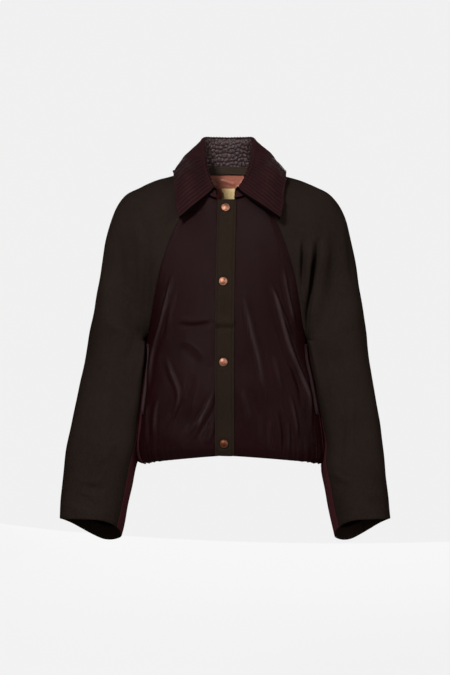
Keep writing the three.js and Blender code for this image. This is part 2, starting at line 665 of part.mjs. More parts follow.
function addSnaps() {
  const profile = [
    [0, 0],
    [SNAP_RADIUS - 0.6, 0],
    [SNAP_RADIUS, 0.7],
    [SNAP_RADIUS * 0.8, SNAP_RISE * 0.75],
    [SNAP_RADIUS * 0.4, SNAP_RISE],
    [0, SNAP_RISE],
  ];
  const outline = profile.map(([radius, height]) => new THREE.Vector2(radius, height));
  SNAP_HEIGHTS.forEach((z, index) => {
    const turned = new THREE.LatheGeometry(outline, 12);
    const cap = addPiece(`snap_cap_${index + 1}`, turned, "copper_metal", 0.35, 1);
    const seat = bodyPoint(frontAngle(PLACKET_MIDDLE, z), z);
    const above = bodyPoint(frontAngle(PLACKET_MIDDLE, z + 5), z + 5);
    const below = bodyPoint(frontAngle(PLACKET_MIDDLE, z - 5), z - 5);
    const up = above.sub(below).normalize();
    const facing = new THREE.Vector3(1, 0, 0).cross(up).normalize();
    cap.quaternion.setFromUnitVectors(new THREE.Vector3(0, 1, 0), facing);
    cap.position.copy(seat).addScaledVector(facing, LAYER + CLOTH / 2 + SEAM_GAP * 2.5);
  });
}

// ---- Pocket welts, which lie on the fronts beside the side seams ----
function addPocketWelt(side, sign) {
  const rows = POCKET_TOP_ROW - POCKET_BOTTOM_ROW;
  const grid = gridOf(rows, 2, (up, across) =>
    frontPoint(sign, POCKET_BOTTOM_ROW + up * rows, mix(1 - POCKET_SHARE, POCKET_OUTER, across)),
  );
  const placed = sign > 0 ? grid : flipColumns(grid);
  const near = LAYER - CLOTH / 2;
  addPiece(`pocket_welt_${side}`, wall(placed, near, near + CLOTH), "aubergine", 0.55);
}

// ---- Inside the back of the neck ----
function liningPoint(z, share, inward) {
  const widest = raglanBackAngle(z) + LINING_SPREAD;
  const angle = mix(widest, 2 * Math.PI - widest, share);
  const point = bodyPoint(angle, z);
  return point.sub(new THREE.Vector3(point.x, point.y - SIDE_Y, 0).setLength(inward));
}

// The angle of the back raglan seam at a height.
function raglanBackAngle(z) {
  const rising = RAGLAN.slice(0, UNDERARM - 1).reverse();
  return smoothAt(column(rising, "backZ"), column(rising, "back"), z) * DEGREE;
}

function addLining() {
  const depth = LAYER + 2 * SEAM_GAP;
  const grid = gridOf(6, 10, (up, across) => {
    const z = mix(LINING_BOTTOM, NECK_BACK - 4, up);
    return liningPoint(z, mix(LINING_SIDE, 1 - LINING_SIDE, across), depth);
  });
  addPiece("back_neck_lining", wall(grid, -CLOTH / 2, CLOTH / 2 - 0.1), "copper_satin", 0.3);
}

function addNeckTape() {
  const columns = 2 * TAPE_SHARE * COLLAR_SIDE_ROWS;
  const grid = gridOf(2, columns, (up, across) => {
    const sign = across < 0.5 ? 1 : -1;
    const along = Math.abs(1 - 2 * across) * TAPE_SHARE;
    const [neck, stand] = collarSection(sign, along);
    const climb = mix(-TAPE_WIDTH / 2, TAPE_WIDTH / 2, up);
    const slope = stand.clone().sub(neck).normalize();
    const level = climb > 0 ? neck.addScaledVector(slope, climb) : neck.setZ(neck.z + climb);
    const inward = new THREE.Vector3(-level.x, -level.y, 0).normalize();
    return level.addScaledVector(inward, 2 * LAYER);
  });
  addPiece("neck_tape", wall(grid, -0.5, 0.5), "olive", 0.7);
}

function addLabel() {
  const grid = gridOf(2, 3, (up, across) => {
    const z = mix(LABEL_BOTTOM, LABEL_TOP, up);
    const x = mix(LABEL_WIDTH / 2, -LABEL_WIDTH / 2, across);
    const reach = bodyAt(x < 0 ? "right" : "left", z);
    const angle = Math.PI - Math.asin(signedPower(x / reach, SQUARENESS / 2));
    const point = bodyPoint(angle, z);
    point.y -= 2 * LAYER + 2 * SEAM_GAP;
    return point;
  });
  addPiece("label", wall(grid, -0.5, 0.5), "gold", 0.5);
}

addFront("front_right", -1);
addFront("front_left", 1);
addBack();
addSleeve("right", -1);
addSleeve("left", 1);
addCollar();
addPlacket();
addSnaps();
addPocketWelt("right", -1);
addPocketWelt("left", 1);
addLining();
addNeckTape();
addLabel();

export default group;
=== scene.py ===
"""A collared bomber jacket with raglan sleeves, hollow and snapped shut, in a plain studio.

Shapes are worked out in millimetres in the frame's own axes (+Z up, the wearer facing -Y, the
wearer's left at +X) and become metres when a mesh is made. Every cloth piece starts from the
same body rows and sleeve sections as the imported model, then takes its creases, gathers and hems.
"""

import bpy
import numpy as np
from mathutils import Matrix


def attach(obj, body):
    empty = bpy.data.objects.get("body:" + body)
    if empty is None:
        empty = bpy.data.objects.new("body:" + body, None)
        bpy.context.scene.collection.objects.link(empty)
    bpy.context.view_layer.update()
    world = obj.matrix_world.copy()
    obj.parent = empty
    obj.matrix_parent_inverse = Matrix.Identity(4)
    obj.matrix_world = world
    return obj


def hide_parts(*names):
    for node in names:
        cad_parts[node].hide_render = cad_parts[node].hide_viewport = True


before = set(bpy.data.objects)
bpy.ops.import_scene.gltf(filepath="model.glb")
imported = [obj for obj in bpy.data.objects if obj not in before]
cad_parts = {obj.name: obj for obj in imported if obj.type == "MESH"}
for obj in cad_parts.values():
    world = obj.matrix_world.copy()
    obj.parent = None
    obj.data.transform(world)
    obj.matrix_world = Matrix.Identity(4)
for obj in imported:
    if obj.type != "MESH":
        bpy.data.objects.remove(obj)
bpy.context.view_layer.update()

MM = 0.001
DEGREE = np.pi / 180
CLOTH = 1.4  # the room that one panel's thickness is given
DRAWN = CLOTH - 0.2  # how thick a panel is drawn
SEAM_GAP = 0.3
LAYER = CLOTH + SEAM_GAP  # from one panel's middle surface to the next one's, laid on it


def table(names, rows):
    """A table with named columns, as a dictionary of arrays."""
    return dict(zip(names.split(), np.array(rows, float).T))


# ---- The garment's sizes ----
# x, y and z are the frame's own. Angles go round the body from its front, and stations run down
# the sleeve from the neck: along the raglan seams to UNDERARM, and then along SLEEVE's rings.
SIDE_Y = -8  # where the body is widest
SQUARENESS = 2.4  # of the body's section, where 2 is an ellipse
SIDE_SEAM_LOW, SIDE_SWING = 67 * DEGREE, 60  # the side seam's angle, and how far down it swings to it
MIDDLE_RISE = 4  # how far the panels' rows rise from the side seams to the middle at the underarm
HEM_FRONT, HEM_SIDE, HEM_BACK = -497.5, -516, -513  # heights
NECK_FRONT, NECK_BACK = -34, 33  # heights
PLACKET_MIDDLE, PLACKET_WIDTH, PLACKET_OVERLAP = -6.5, 34.5, 5
PLACKET_LEAN = ([-500, -330, -180, -34], [-0.6, -0.8, 0.4, 3.6])  # heights, and how far it sways
SNAP_HEIGHTS = [-50, -184, -329, -475.5]
SNAP_SWAY = [-2.2, -3.6, -2.0, -1.2]  # how far off the placket's middle each one sits
SNAP_RADIUS, SNAP_RISE = 7.5, 2.8
HEM_DEPTH = 20  # how far the hems and cuffs are turned up inside
HEM_RIPPLE, HEM_WAVE, HEM_WAVE_REACH = 2.3, 1.1, 9  # gathers outward, and up at the edge itself

# The body's half widths and depths at each height.
BODY = table("z right left front back", [
    (-520, 164, 174, 103, 106),
    (-505, 172, 183, 111, 116),
    (-484, 176, 184, 118, 124),
    (-430, 171, 177, 121, 126),
    (-360, 162, 163, 122, 125),
    (-290, 155, 147, 120, 124),
    (-210, 156, 148, 117, 123),
    (-160, 158, 149, 112, 121),
    (-110, 160, 151, 104, 116),
    (-70, 158, 151, 93, 109),
    (-34, 154, 150, 79, 101),
    (0, 150, 149, 64, 90),
    (40, 142, 142, 50, 78),
])

# The raglan seams: angles and heights of the front and back seam at each station, neck first.
RAGLAN = table("front front_z back back_z", [
    (15, -12, 166, 31),
    (19, -24, 162, 12),
    (25, -46, 157, -18),
    (32, -80, 150, -58),
    (41, -124, 142, -108),
    (50, -170, 135, -160),
    (58, -222, 128, -214),
    (66, -267, 109, -271),
    (75, -292, 75, -292),
])
UNDERARM = len(RAGLAN["front"]) - 1

# The outermost point of the shoulder at the first stations, and the angle at which the section
# leaves the front seam.
SHOULDER = table("outer outer_y outer_z open", [
    (63, 6, 32, 92),
    (98, 5, 17.5, 96),
    (131, 4, 9, 100),
    (163, 2, -4.5, 102),
    (195, 0, -24, 102),
    (218, 0, -66, 98),
    (235, 0, -142, 90),
])

# Rings of the free sleeve down to the cuff: how far out its inner and outer edges lie, its middle's
# y, its half depth, how far its front edge (rake) and its outer edge (tilt) rise, the angle of the
# inner seam, and how far the back of its inner end dips as it twists.
SLEEVE = table("z in_right out_right in_left out_left y depth rake tilt seam twist", [
    (-251, 153, 249, 146, 249, -1, 79, 0, 25, 28, 0),
    (-284, 135, 258, 133, 256, -3, 78, 0, 12, 44, 0),
    (-322, 137, 265, 137, 261, -5, 75, 0, 9, 44, 0),
    (-372, 144, 275, 148, 268, -9, 72, 2, 8, 41, 0),
    (-425, 152, 287, 160, 277, -15, 68, 5, 8, 37, 0),
    (-475, 162, 297, 172, 284, -22, 65, 8, 8, 33, 0),
    (-512, 172, 302, 173, 287, -31, 62, 11, 9, 30, 0),
    (-550, 179, 306, 179, 290, -40, 59, 15, 11, 29, 2),
    (-592, 189, 309, 187, 294, -50, 56, 17, 13, 27, 6),
    (-631, 198, 310, 196, 297, -60, 54, 19, 15, 25, 13),
])
SLEEVE_CLEARANCE = 1.0  # how far a sleeve that leans on the body stays off its middle surface
LEANING_TOP, LEANING_FADE, LEANING_BOTTOM = -298, 25, -530  # heights between which it leans

# The collar from the centre back to its front end: roll is the top of the fold, edge the outer
# edge and crown how far the fall swells between them.
COLLAR = table("along roll_x roll_y roll_z edge_x edge_y edge_z crown_x crown_y crown_z", [
    (0, 0, 67, 95, 0, 101, 31, 0, 5, 5),
    (0.12, 28, 62, 95, 42, 96, 31, 2, 5, 5),
    (0.3, 48, 46, 91, 83, 67, 35, 5, 3, 6),
    (0.45, 48, 17, 66, 101, 22, 27, 7, 1, 7),
    (0.6, 44, -12, 37, 103, -26, 17, 5, -3, 13),
    (0.7, 39, -33, 21, 100, -64, -8, 5, -12, 18),
    (0.82, 32, -57, 2, 97, -90, -41, 3, -15, 15),
    (1, 22, -77, -13, 91, -107, -69, 0, -13, 0),
])
COLLAR_ROLL = 4  # the radius of the fold
COLLAR_FRONT_SHIFT = -5  # how far the front of the stand sits to the wearer's right
LEAF_SHIFT = 2.2  # how far the leaves' edges sit to the wearer's left
COLLAR_LIFT_BACK, COLLAR_LIFT_FRONT = 0.8, 3  # how far the stand starts above the neck's edge
TAPE_WIDTH, TAPE_SHARE = 15.5, 0.4  # the share of each half of the collar that it runs along
LINING_BOTTOM = -105
LABEL_WIDTH, LABEL_TOP, LABEL_BOTTOM = 25, 0, -24
POCKET_BOTTOM_ROW, POCKET_TOP_ROW, POCKET_SHARE = 4, 9.75, 0.09  # the share of the front's width

# ---- Creases ----
# Each is its width, which is how far it reaches, its rise, a trough where negative, its lean,
# which makes one of its sides steeper than the other, and then its path of (x, z).
FRONT_CREASES = [
    (3.4, 4.0, -0.3, (-101, -165), (-118, -235), (-137, -312)),
    (5, 1.8, 0.2, (-94, -178), (-104, -232), (-112, -288)),
    (3.6, 3.4, 0.3, (-124, -258), (-139, -318), (-148, -388)),
    (4, 3.2, 0.35, (-113, -318), (-103, -346), (-89, -384), (-94, -414), (-116, -460)),
    (4.2, 3.2, -0.35, (-26, -374), (-38, -406), (-53, -433), (-83, -470)),
    (3.2, 2.0, -0.3, (-46, -424), (-56, -448), (-68, -472)),
    (3.5, 1.6, 0.2, (-27, -430), (-31, -456), (-40, -482)),
    (4.5, -1.7, 0.2, (-97, -261), (-61, -264), (-24, -259)),
    (5, 1.0, 0, (-90, -252), (-62, -254), (-30, -250)),
    (9, 1.5, 0, (-92, -286), (-60, -300), (-34, -334)),
    (7, -2.2, 0, (-64, -345), (-72, -385), (-90, -430)),
    (3.5, 2.4, 0.2, (-128, -395), (-134, -430), (-136, -478)),
    (3.2, 1.8, 0.2, (-146, -400), (-150, -440), (-150, -490)),
    (3.8, 5.2, 0.35, (71, -168), (91, -235), (111, -300), (133, -354), (149, -398), (149, -474)),
    (3.0, 3.2, 0.3, (78, -190), (98, -240), (116, -290)),
    (3.0, 3.6, 0.3, (98, -150), (109, -214), (124, -272)),
    (4.6, 3.4, -0.4, (24, -190), (39, -271), (53, -326), (70, -410)),
    (4, 2.0, -0.3, (80, -310), (88, -350), (97, -392)),
    (4, 2.6, 0.3, (108, -376), (121, -434), (126, -470)),
    (5, -2.4, 0, (116, -330), (128, -372), (133, -420)),
    (6, 1.8, 0, (22, -372), (34, -410), (38, -448)),
    (3.5, 1.6, 0, (56, -420), (58, -450), (54, -482)),
    (2.4, -4.6, 0.2, (92, -410), (98, -455), (100, -508)),
    (3, 2.2, 0, (106, -425), (108, -462), (108, -500)),
    (3.4, 1.8, 0.2, (76, -425), (74, -460), (71, -498)),
]
BACK_CREASES = [
    (9, 3.6, 0.3, (96, -160), (112, -230), (124, -300)),
    (9, 4.2, -0.3, (120, -310), (108, -380), (104, -452)),
    (10, -3.0, 0, (70, -270), (92, -340), (96, -410)),
    (9, 3.2, -0.3, (-92, -170), (-104, -240), (-112, -306)),
    (9, 4.4, 0.3, (-124, -320), (-118, -390), (-126, -460)),
    (10, 3.4, 0.25, (-60, -300), (-78, -372), (-74, -450)),
    (8, -2.8, 0, (-30, -380), (-36, -430), (-30, -490)),
    (12, 2.4, -0.2, (30, -250), (24, -330), (38, -410)),
    (7, 2.8, 0, (10, -400), (16, -440), (12, -492)),
    (16, 1.6, 0, (-40, -120), (0, -132), (44, -118)),
    (14, -1.6, 0, (-52, -210), (-8, -222), (40, -214)),
]
SLEEVE_CREASES = {}
SLEEVE_CREASES["right", "front"] = [
    (9, 3.4, 0.3, (-170, -58), (-157, -149), (-162, -262)),
    (9, 2.6, -0.2, (-191, -76), (-183, -174), (-190, -262)),
    (7, -2.6, 0, (-150, -110), (-146, -180), (-152, -250)),
    (9, -2.0, 0, (-154, -250), (-174, -300), (-196, -346)),
    (13, 2.2, 0.2, (-214, -330), (-222, -420), (-226, -500)),
    (5, 1.7, 0.3, (-282, -536), (-252, -546), (-222, -536)),
    (5, 1.9, -0.3, (-276, -562), (-254, -570), (-230, -588)),
    (5, 1.4, 0.3, (-292, -585), (-262, -598), (-240, -606)),
    (5, -1.5, 0, (-262, -552), (-240, -560), (-214, -556)),
    (8, 1.8, 0, (-206, -470), (-226, -500), (-252, -518)),
]
SLEEVE_CREASES["left", "front"] = [
    (5.0, -16.0, 0.5, (168, -96), (157, -165), (147, -235), (141, -304)),
    (4.2, -11.0, -0.4, (136, -96), (133, -149), (134, -213), (139, -298)),
    (9, 4.4, -0.3, (184, -76), (170, -160), (160, -235), (152, -296)),
    (5, 3.6, 0, (155, -100), (147, -165), (142, -235)),
    (9, 2.4, 0.3, (207, -60), (214, -140), (226, -230)),
    (9, -2.0, 0, (190, -90), (192, -170), (200, -250)),
    (9, 3.0, -0.3, (222, -390), (218, -460), (211, -540)),
    (10, -2.2, 0, (196, -300), (206, -360), (210, -430)),
    (5, 1.8, 0.3, (188, -528), (206, -540), (228, -548)),
    (6, 1.4, 0, (236, -560), (256, -572), (280, -570)),
]
SLEEVE_CREASES["right", "back"] = [
    (10, 3.8, 0.3, (-150, -90), (-166, -170), (-172, -262)),
    (9, -3.2, 0, (-188, -80), (-196, -170), (-206, -250)),
    (9, -4.0, 0.3, (-150, -230), (-182, -290), (-214, -330)),
    (8, 3.0, -0.2, (-164, -250), (-200, -312), (-236, -350)),
    (12, 3.0, 0.2, (-230, -380), (-238, -450), (-232, -530)),
    (6, 1.8, 0.3, (-200, -560), (-236, -572), (-270, -566)),
]
SLEEVE_CREASES["left", "back"] = [
    (9, 4.0, -0.3, (146, -80), (158, -170), (160, -255)),
    (10, -3.0, 0, (180, -70), (190, -160), (196, -240)),
    (9, -4.2, 0, (150, -240), (176, -292), (206, -336)),
    (8, 3.2, 0.3, (168, -260), (200, -316), (226, -366)),
    (11, 2.8, -0.3, (226, -390), (222, -460), (230, -540)),
    (6, 1.6, 0.2, (206, -566), (236, -580), (266, -574)),
]


# ---- Numbers and curves ----
def mix(a, b, t):
    return a + (b - a) * t


def smoothstep(x):
    x = np.clip(x, 0, 1)
    return x * x * (3 - 2 * x)


def bell(distance, width):
    """A rise of 1 that runs out about twice its width away."""
    return np.exp(-((distance / width) ** 2))


def signed_power(value, power):
    return np.sign(value) * np.abs(value) ** power


def unit(vectors):
    return vectors / np.maximum(np.linalg.norm(vectors, axis=-1, keepdims=True), 1e-9)


def cubic(start, end, leaving, arriving, t):
    """A smooth step from start to end, given the slopes it leaves and arrives with."""
    return (
        (1 + 2 * t) * (1 - t) ** 2 * start
        + t * (1 - t) ** 2 * leaving
        + t**2 * (3 - 2 * t) * end
        + t**2 * (t - 1) * arriving
    )


def smooth_at(xs, ys, x):
    """A smooth value, or point, at x through the knots (xs, ys)."""
    xs, ys = np.asarray(xs, float), np.asarray(ys, float)
    last = len(xs) - 1
    numbers = np.arange(last + 1)
    low, high = np.maximum(numbers - 1, 0), np.minimum(numbers + 1, last)
    widths = (xs[high] - xs[low]).reshape((-1,) + (1,) * (ys.ndim - 1))
    slopes = (ys[high] - ys[low]) / widths
    x = np.clip(np.asarray(x, float), xs[0], xs[last])
    i = np.clip(np.searchsorted(xs, x, side="left") - 1, 0, last - 1)
    shape = x.shape + (1,) * (ys.ndim - 1)
    span = (xs[i + 1] - xs[i]).reshape(shape)
    t = (x - xs[i]).reshape(shape) / span
    return cubic(ys[i], ys[i + 1], span * slopes[i], span * slopes[i + 1], t)


def numbered(values, x):
    return smooth_at(np.arange(len(values)), values, x)


def catmull_rom(points, steps):
    """Points at shares of the way through control points (..., n, 3), with centripetal spacing."""
    first = 2 * points[..., :1, :] - points[..., 1:2, :]
    last = 2 * points[..., -1:, :] - points[..., -2:-1, :]
    controls = np.concatenate([first, points, last], axis=-2)
    place = np.asarray(steps) * (points.shape[-2] - 1)
    i = np.minimum(place.astype(int), points.shape[-2] - 2)
    t = (place - i)[:, None]
    p0, p1, p2, p3 = (controls[..., i + k, :] for k in range(4))
    d0, d1, d2 = (
        np.linalg.norm(b - a, axis=-1, keepdims=True) ** 0.5
        for a, b in ((p0, p1), (p1, p2), (p2, p3))
    )
    low = ((p1 - p0) / d0 - (p2 - p0) / (d0 + d1) + (p2 - p1) / d1) * d1
    high = ((p2 - p1) / d1 - (p3 - p1) / (d1 + d2) + (p3 - p2) / d2) * d1
    return cubic(p1, p2, low, high, t)


def crease_rise(x, z, creases):
    """The height that the listed creases give the cloth at (x, z)."""
    total = np.zeros(np.broadcast(x, z).shape)
    for width, rise, lean, *path in creases:
        spots = np.linspace(0, len(path) - 1, 12 * (len(path) - 1) + 1)
        line = numbered(path, spots)
        starts, steps = line[:-1], np.diff(line, axis=0)
        nearest = np.full(total.shape, np.inf)
        off, along = np.zeros(total.shape), np.zeros(total.shape)
        for k, (start, step) in enumerate(zip(starts, steps)):
            dx, dz = x - start[0], z - start[1]
            length = np.hypot(*step)
            share = np.clip((dx * step[0] + dz * step[1]) / length**2, 0, 1)
            distance = np.hypot(dx - share * step[0], dz - share * step[1])
            side = np.sign(dx * step[1] - dz * step[0])
            closer = distance < nearest
            nearest = np.where(closer, distance, nearest)
            off = np.where(closer, side, off)
            along = np.where(closer, (k + share) / len(steps), along)
        reach = width * (1 + lean * off)
        ends = smoothstep(along / 0.3) * smoothstep((1 - along) / 0.35)
        hollows = 0.28 * bell(nearest - 2.1 * reach, reach)
        total += rise * ends * (bell(nearest, reach) - hollows)
    return total


RANDOM = np.random.default_rng(7)
RUMPLES = [
    (RANDOM.normal(size=3) * [1.4, 1.4, 0.7] / scale, RANDOM.uniform(0, 2 * np.pi), amount)
    for scale, amount in [(34, 0.34), (27, 0.3), (21, 0.22), (16, 0.16), (12, 0.1), (8, 0.06)]
    for _ in range(3)
]


def rumple(points):
    """The faint unevenness of cloth that nothing holds flat."""
    return sum(size * np.sin(points @ wave + phase) for wave, phase, size in RUMPLES)


# ---- The body's form ----
def half_size(one, other, choice, z):
    """The body's half size toward one side where choice is true, and else toward the other."""
    sizes = (smooth_at(BODY["z"], BODY[key], z) for key in (one, other))
    return np.where(choice, *sizes)


def body_sizes(angle, z):
    angle, z = np.broadcast_arrays(np.asarray(angle, float), np.asarray(z, float))
    reach = half_size("right", "left", np.sin(angle) < 0, z)
    return angle, z, reach, half_size("front", "back", np.cos(angle) > 0, z)


def body_point(angle, z):
    """A point of the smooth body: angle 0 is its front, and it grows toward the wearer's left."""
    angle, z, reach, depth = body_sizes(angle, z)
    x = reach * signed_power(np.sin(angle), 2 / SQUARENESS)
    y = SIDE_Y - depth * signed_power(np.cos(angle), 2 / SQUARENESS)
    return np.stack([x, y, z], axis=-1)


def body_outward(angle, z):
    angle, z, reach, depth = body_sizes(angle, z)
    power = 2 - 2 / SQUARENESS
    x = signed_power(np.sin(angle), power) / reach
    y = -signed_power(np.cos(angle), power) / depth
    return unit(np.stack([x, y, np.zeros_like(x)], axis=-1))


def front_angle(x, z):
    reach = half_size("right", "left", x < 0, z)
    return np.arcsin(signed_power(x / reach, SQUARENESS / 2))


GATHER_TOP = 78  # the height above the hem by which the tallest gathers have run out
FLAT_FRONT = 27 * DEGREE  # the hem is flat this far to each side of the placket


def gathers(angle, z):
    """Gathers of the hem, which its casing draws in at the sides and the back."""
    turn = np.abs((angle + np.pi) % (2 * np.pi) - np.pi)
    on_left = np.sin(angle) > 0
    place = turn * np.where(on_left, 60.0, 58.0) + np.where(on_left, 0.0, 2.0)  # unlike sides
    wave = (
        np.sin(1.05 * place + 1.6 * np.sin(0.31 * place + 0.7))
        + 0.55 * np.sin(1.73 * place + 2.1 * np.sin(0.23 * place) + 1.1)
        + 0.3 * np.sin(2.9 * place + 0.4)
    )
    height = z - mix(HEM_FRONT, HEM_SIDE, smoothstep((turn - 0.2) / 0.9))
    reach = GATHER_TOP * (0.62 + 0.38 * np.sin(0.5 * place + 2.0))
    fall = np.exp(-3.2 * np.clip(height, 0, None) / reach)
    start = smoothstep((turn - FLAT_FRONT) / (9 * DEGREE))
    back = mix(1.0, 0.8, smoothstep((turn - 1.7) / 0.5))
    return wave * fall * start * back


def body_surface(angle, z, freedom):
    """The body's cloth at an angle and height. freedom is 0 on the seams that hold it smooth."""
    smooth = body_point(angle, z)
    facing = np.cos(np.broadcast_to(angle, smooth.shape[:-1]))
    front = smoothstep((facing + 0.05) / 0.25)
    back = smoothstep((-facing - 0.02) / 0.25)
    x, height = smooth[..., 0], smooth[..., 2]
    rise = front * crease_rise(x, height, FRONT_CREASES)
    rise += back * crease_rise(x, height, BACK_CREASES)
    rise += rumple(smooth)
    ripple = gathers(angle, height)
    rise = rise * freedom + HEM_RIPPLE * ripple
    moved = smooth + body_outward(angle, z) * rise[..., None]
    at_hem = np.exp(-np.clip(height - HEM_SIDE, 0, None) / HEM_WAVE_REACH)
    moved[..., 2] += HEM_WAVE * ripple * at_hem
    return moved


# ---- Seams that the body and the sleeves share ----
SIDE_ROWS, RAGLAN_ROWS = 10, 12
BODY_ROWS = SIDE_ROWS + RAGLAN_ROWS
SEAM_HOLD = 0.14  # the share of a panel's width that the raglan seam holds smooth


def raglan_point(sign, face, station):
    angle = sign * numbered(RAGLAN[face], station) * DEGREE
    return body_point(angle, numbered(RAGLAN[face + "_z"], station))


def body_edge(face, row):
    """The side edge of a body panel at a row: its angle and height."""
    top = RAGLAN["front_z"][UNDERARM]
    low_z = mix(HEM_SIDE, top, np.clip(row / SIDE_ROWS, 0, 1))
    swing = np.clip((top - low_z) / SIDE_SWING, 0, 1)
    low_angle = mix(RAGLAN["front"][UNDERARM] * DEGREE, SIDE_SEAM_LOW, swing * (2 - swing))
    station = UNDERARM * (1 - np.clip((row - SIDE_ROWS) / RAGLAN_ROWS, 0, 1))
    high_angle = numbered(RAGLAN[face], station) * DEGREE
    high_z = numbered(RAGLAN[face + "_z"], station)
    below = row <= SIDE_ROWS
    return np.where(below, low_angle, high_angle), np.where(below, low_z, high_z)


def middle_height(hem, neck, row):
    """The height of a row along the middle of the front or back."""
    underarm = RAGLAN["front_z"][UNDERARM] + MIDDLE_RISE
    low = mix(hem, underarm, np.clip(row / SIDE_ROWS, 0, 1))
    high = mix(underarm, neck, (row - SIDE_ROWS) / RAGLAN_ROWS)
    return np.where(row <= SIDE_ROWS, low, high)


def placket_edge(sign, z=None):
    sway = 0 if z is None else smooth_at(*PLACKET_LEAN, z)
    return PLACKET_MIDDLE + sign * PLACKET_WIDTH / 2 + sway


def front_start(sign):
    return placket_edge(sign) - sign * PLACKET_OVERLAP


def seam_freedom(row, from_edge):
    """How free the cloth is of the raglan seam: nothing holds it below the underarm."""
    held = smoothstep((row - SIDE_ROWS + 1.5) / 2)
    return mix(1, smoothstep(from_edge / SEAM_HOLD), held)


def front_place(sign, row, share):
    """Angle and height on a front, by row and share of the way from centre to side edge."""
    edge_angle, edge_z = body_edge("front", row)
    middle = middle_height(HEM_FRONT, NECK_FRONT, row)
    z = mix(middle, edge_z, share ** (1 + row / BODY_ROWS))
    centre = front_angle(front_start(sign), z)
    return mix(centre, sign * edge_angle, share), z


def back_place(row, share):
    """Angle and height on the back, by row and share of the way across it."""
    edge_angle, edge_z = body_edge("back", row)
    from_edge = 1 - np.abs(2 * share - 1)
    middle = middle_height(HEM_BACK, NECK_BACK, row)
    z = mix(edge_z, middle, np.sin(from_edge * np.pi / 2))
    turned = mix(edge_angle, np.pi, from_edge)
    return np.where(share < 0.5, turned, 2 * np.pi - turned), z


# ---- The sleeves' form ----
RINGS_START = UNDERARM - 1
SLEEVE_STATIONS = RINGS_START + len(SLEEVE["z"]) - 1
ARM_POWER = 0.86  # fills out the free sleeve's section, where 1 is an ellipse
LIFT_START = 4  # the station where the sleeve's edge starts to come out over the body's
SPACES = 8  # spaces between the points that a sleeve's section runs through
RING_TURNS = np.array([60, 92, 132, 180, 226, 264, 306])  # round the underarm's rings
FREE_TURNS = np.array([64, 100, 142, 188, 234, 288, 352])  # round the rings that hang free
UNDER_TOP, UNDER_FULL = UNDERARM * (1 - 2 / RAGLAN_ROWS), UNDERARM + 2.5  # where the gore widens
UNDER_TIP, UNDER_SHARE = 0.008, 0.3  # shares of the section that the gore takes, first and full
UNDER_POINT = 0.0006  # the share at the gore's very tip
CUFF_WRAP = 0.006  # how far the gore comes round past the inner seam


def sleeve_seam_point(sign, face, station):
    point = raglan_point(sign, face, station)
    outward = np.stack([point[..., 0], point[..., 1] - SIDE_Y, 0 * point[..., 0]], axis=-1)
    lift = LAYER * np.clip(np.asarray(station, float) / LIFT_START - 1, 0, 1)
    return point + unit(outward) * lift[..., None]


def shoulder_section(sign, station):
    """Points round the sleeve where it's open to the body, from its front seam to its back."""
    front = sleeve_seam_point(sign, "front", station)
    back = sleeve_seam_point(sign, "back", station)
    row = {key: column[station] for key, column in SHOULDER.items()}
    outer = np.array([sign * row["outer"], row["outer_y"], row["outer_z"]])
    start = row["open"] * DEGREE
    centre = ((front + back) / 2 + outer * np.cos(start)) / (1 + np.cos(start))
    forward = (front - back) / 2 / np.sin(start)
    angle = mix(start, 2 * np.pi - start, np.arange(SPACES + 1) / SPACES)[:, None]
    return centre - np.cos(angle) * (outer - centre) + np.sin(angle) * forward


def ring_section(sign, ring):
    """Points round the free sleeve, from its inner seam over the front and back to the seam."""
    row = {key: column[ring] for key, column in SLEEVE.items()}
    side = "left" if sign > 0 else "right"
    inner, outer = row["in_" + side], row["out_" + side]
    half = (outer - inner) / 2
    middle = mix(RING_TURNS, FREE_TURNS, np.clip((ring - 1) / 2, 0, 1))
    turns = np.array([row["seam"], *middle, row["seam"]]) * DEGREE
    across = signed_power(-np.cos(turns), ARM_POWER)
    forward = signed_power(np.sin(turns), ARM_POWER)
    x = sign * (inner + half + half * across)
    y = row["y"] - row["depth"] * forward
    z = row["z"] + row["tilt"] * across + row["rake"] * forward - row["twist"] * across * forward
    return np.stack([x, y, z], axis=-1)


SECTIONS = {
    sign: np.array(
        [shoulder_section(sign, k) for k in range(RINGS_START)]
        + [ring_section(sign, ring) for ring in range(len(SLEEVE["z"]))]
    )
    for sign in (-1, 1)
}


def sleeve_form(sign, station, share):
    """Points of a smooth sleeve: one row for each station, one column for each share."""
    station = np.asarray(station, float)
    points = numbered(SECTIONS[sign], station)
    seam = np.minimum(station, UNDERARM)
    held = 1 - np.clip(station - UNDERARM, 0, 1)[:, None]
    for place, face in ((0, "front"), (SPACES, "back")):
        seam_point = sleeve_seam_point(sign, face, seam)
        points[:, place] = mix(points[:, place], seam_point, held)
    closed = (station >= UNDERARM)[:, None]
    before = np.where(closed, points[:, -2], 2 * points[:, 0] - points[:, 1])
    after = np.where(closed, points[:, 1], 2 * points[:, -1] - points[:, -2])
    knots = np.concatenate([before[:, None], points, after[:, None]], axis=1)
    place = np.where(share > 1, share - 1, share) * SPACES
    i = np.clip(np.ceil(place).astype(int) - 1, 0, SPACES - 1)
    row = np.arange(len(station))[:, None]
    low, start, end, high = (knots[row, i + k] for k in range(4))
    return cubic(start, end, (end - low) / 2, (high - start) / 2, (place - i)[..., None])


def back_seam_share(station):
    """Where round a section the upper panel ends, and the gore begins below UNDER_TOP."""
    opened = np.clip((station - UNDER_TOP) / (UNDER_FULL - UNDER_TOP), 0, 1)
    share = 1 - UNDER_TIP - UNDER_SHARE * opened * (2 - opened)
    return np.where(station < UNDER_TOP - 0.01, 1, share)


def inner_seam_share(station):
    """Where round a section the upper panel begins."""
    return CUFF_WRAP * np.clip((station - UNDERARM) / 5, 0, 1)


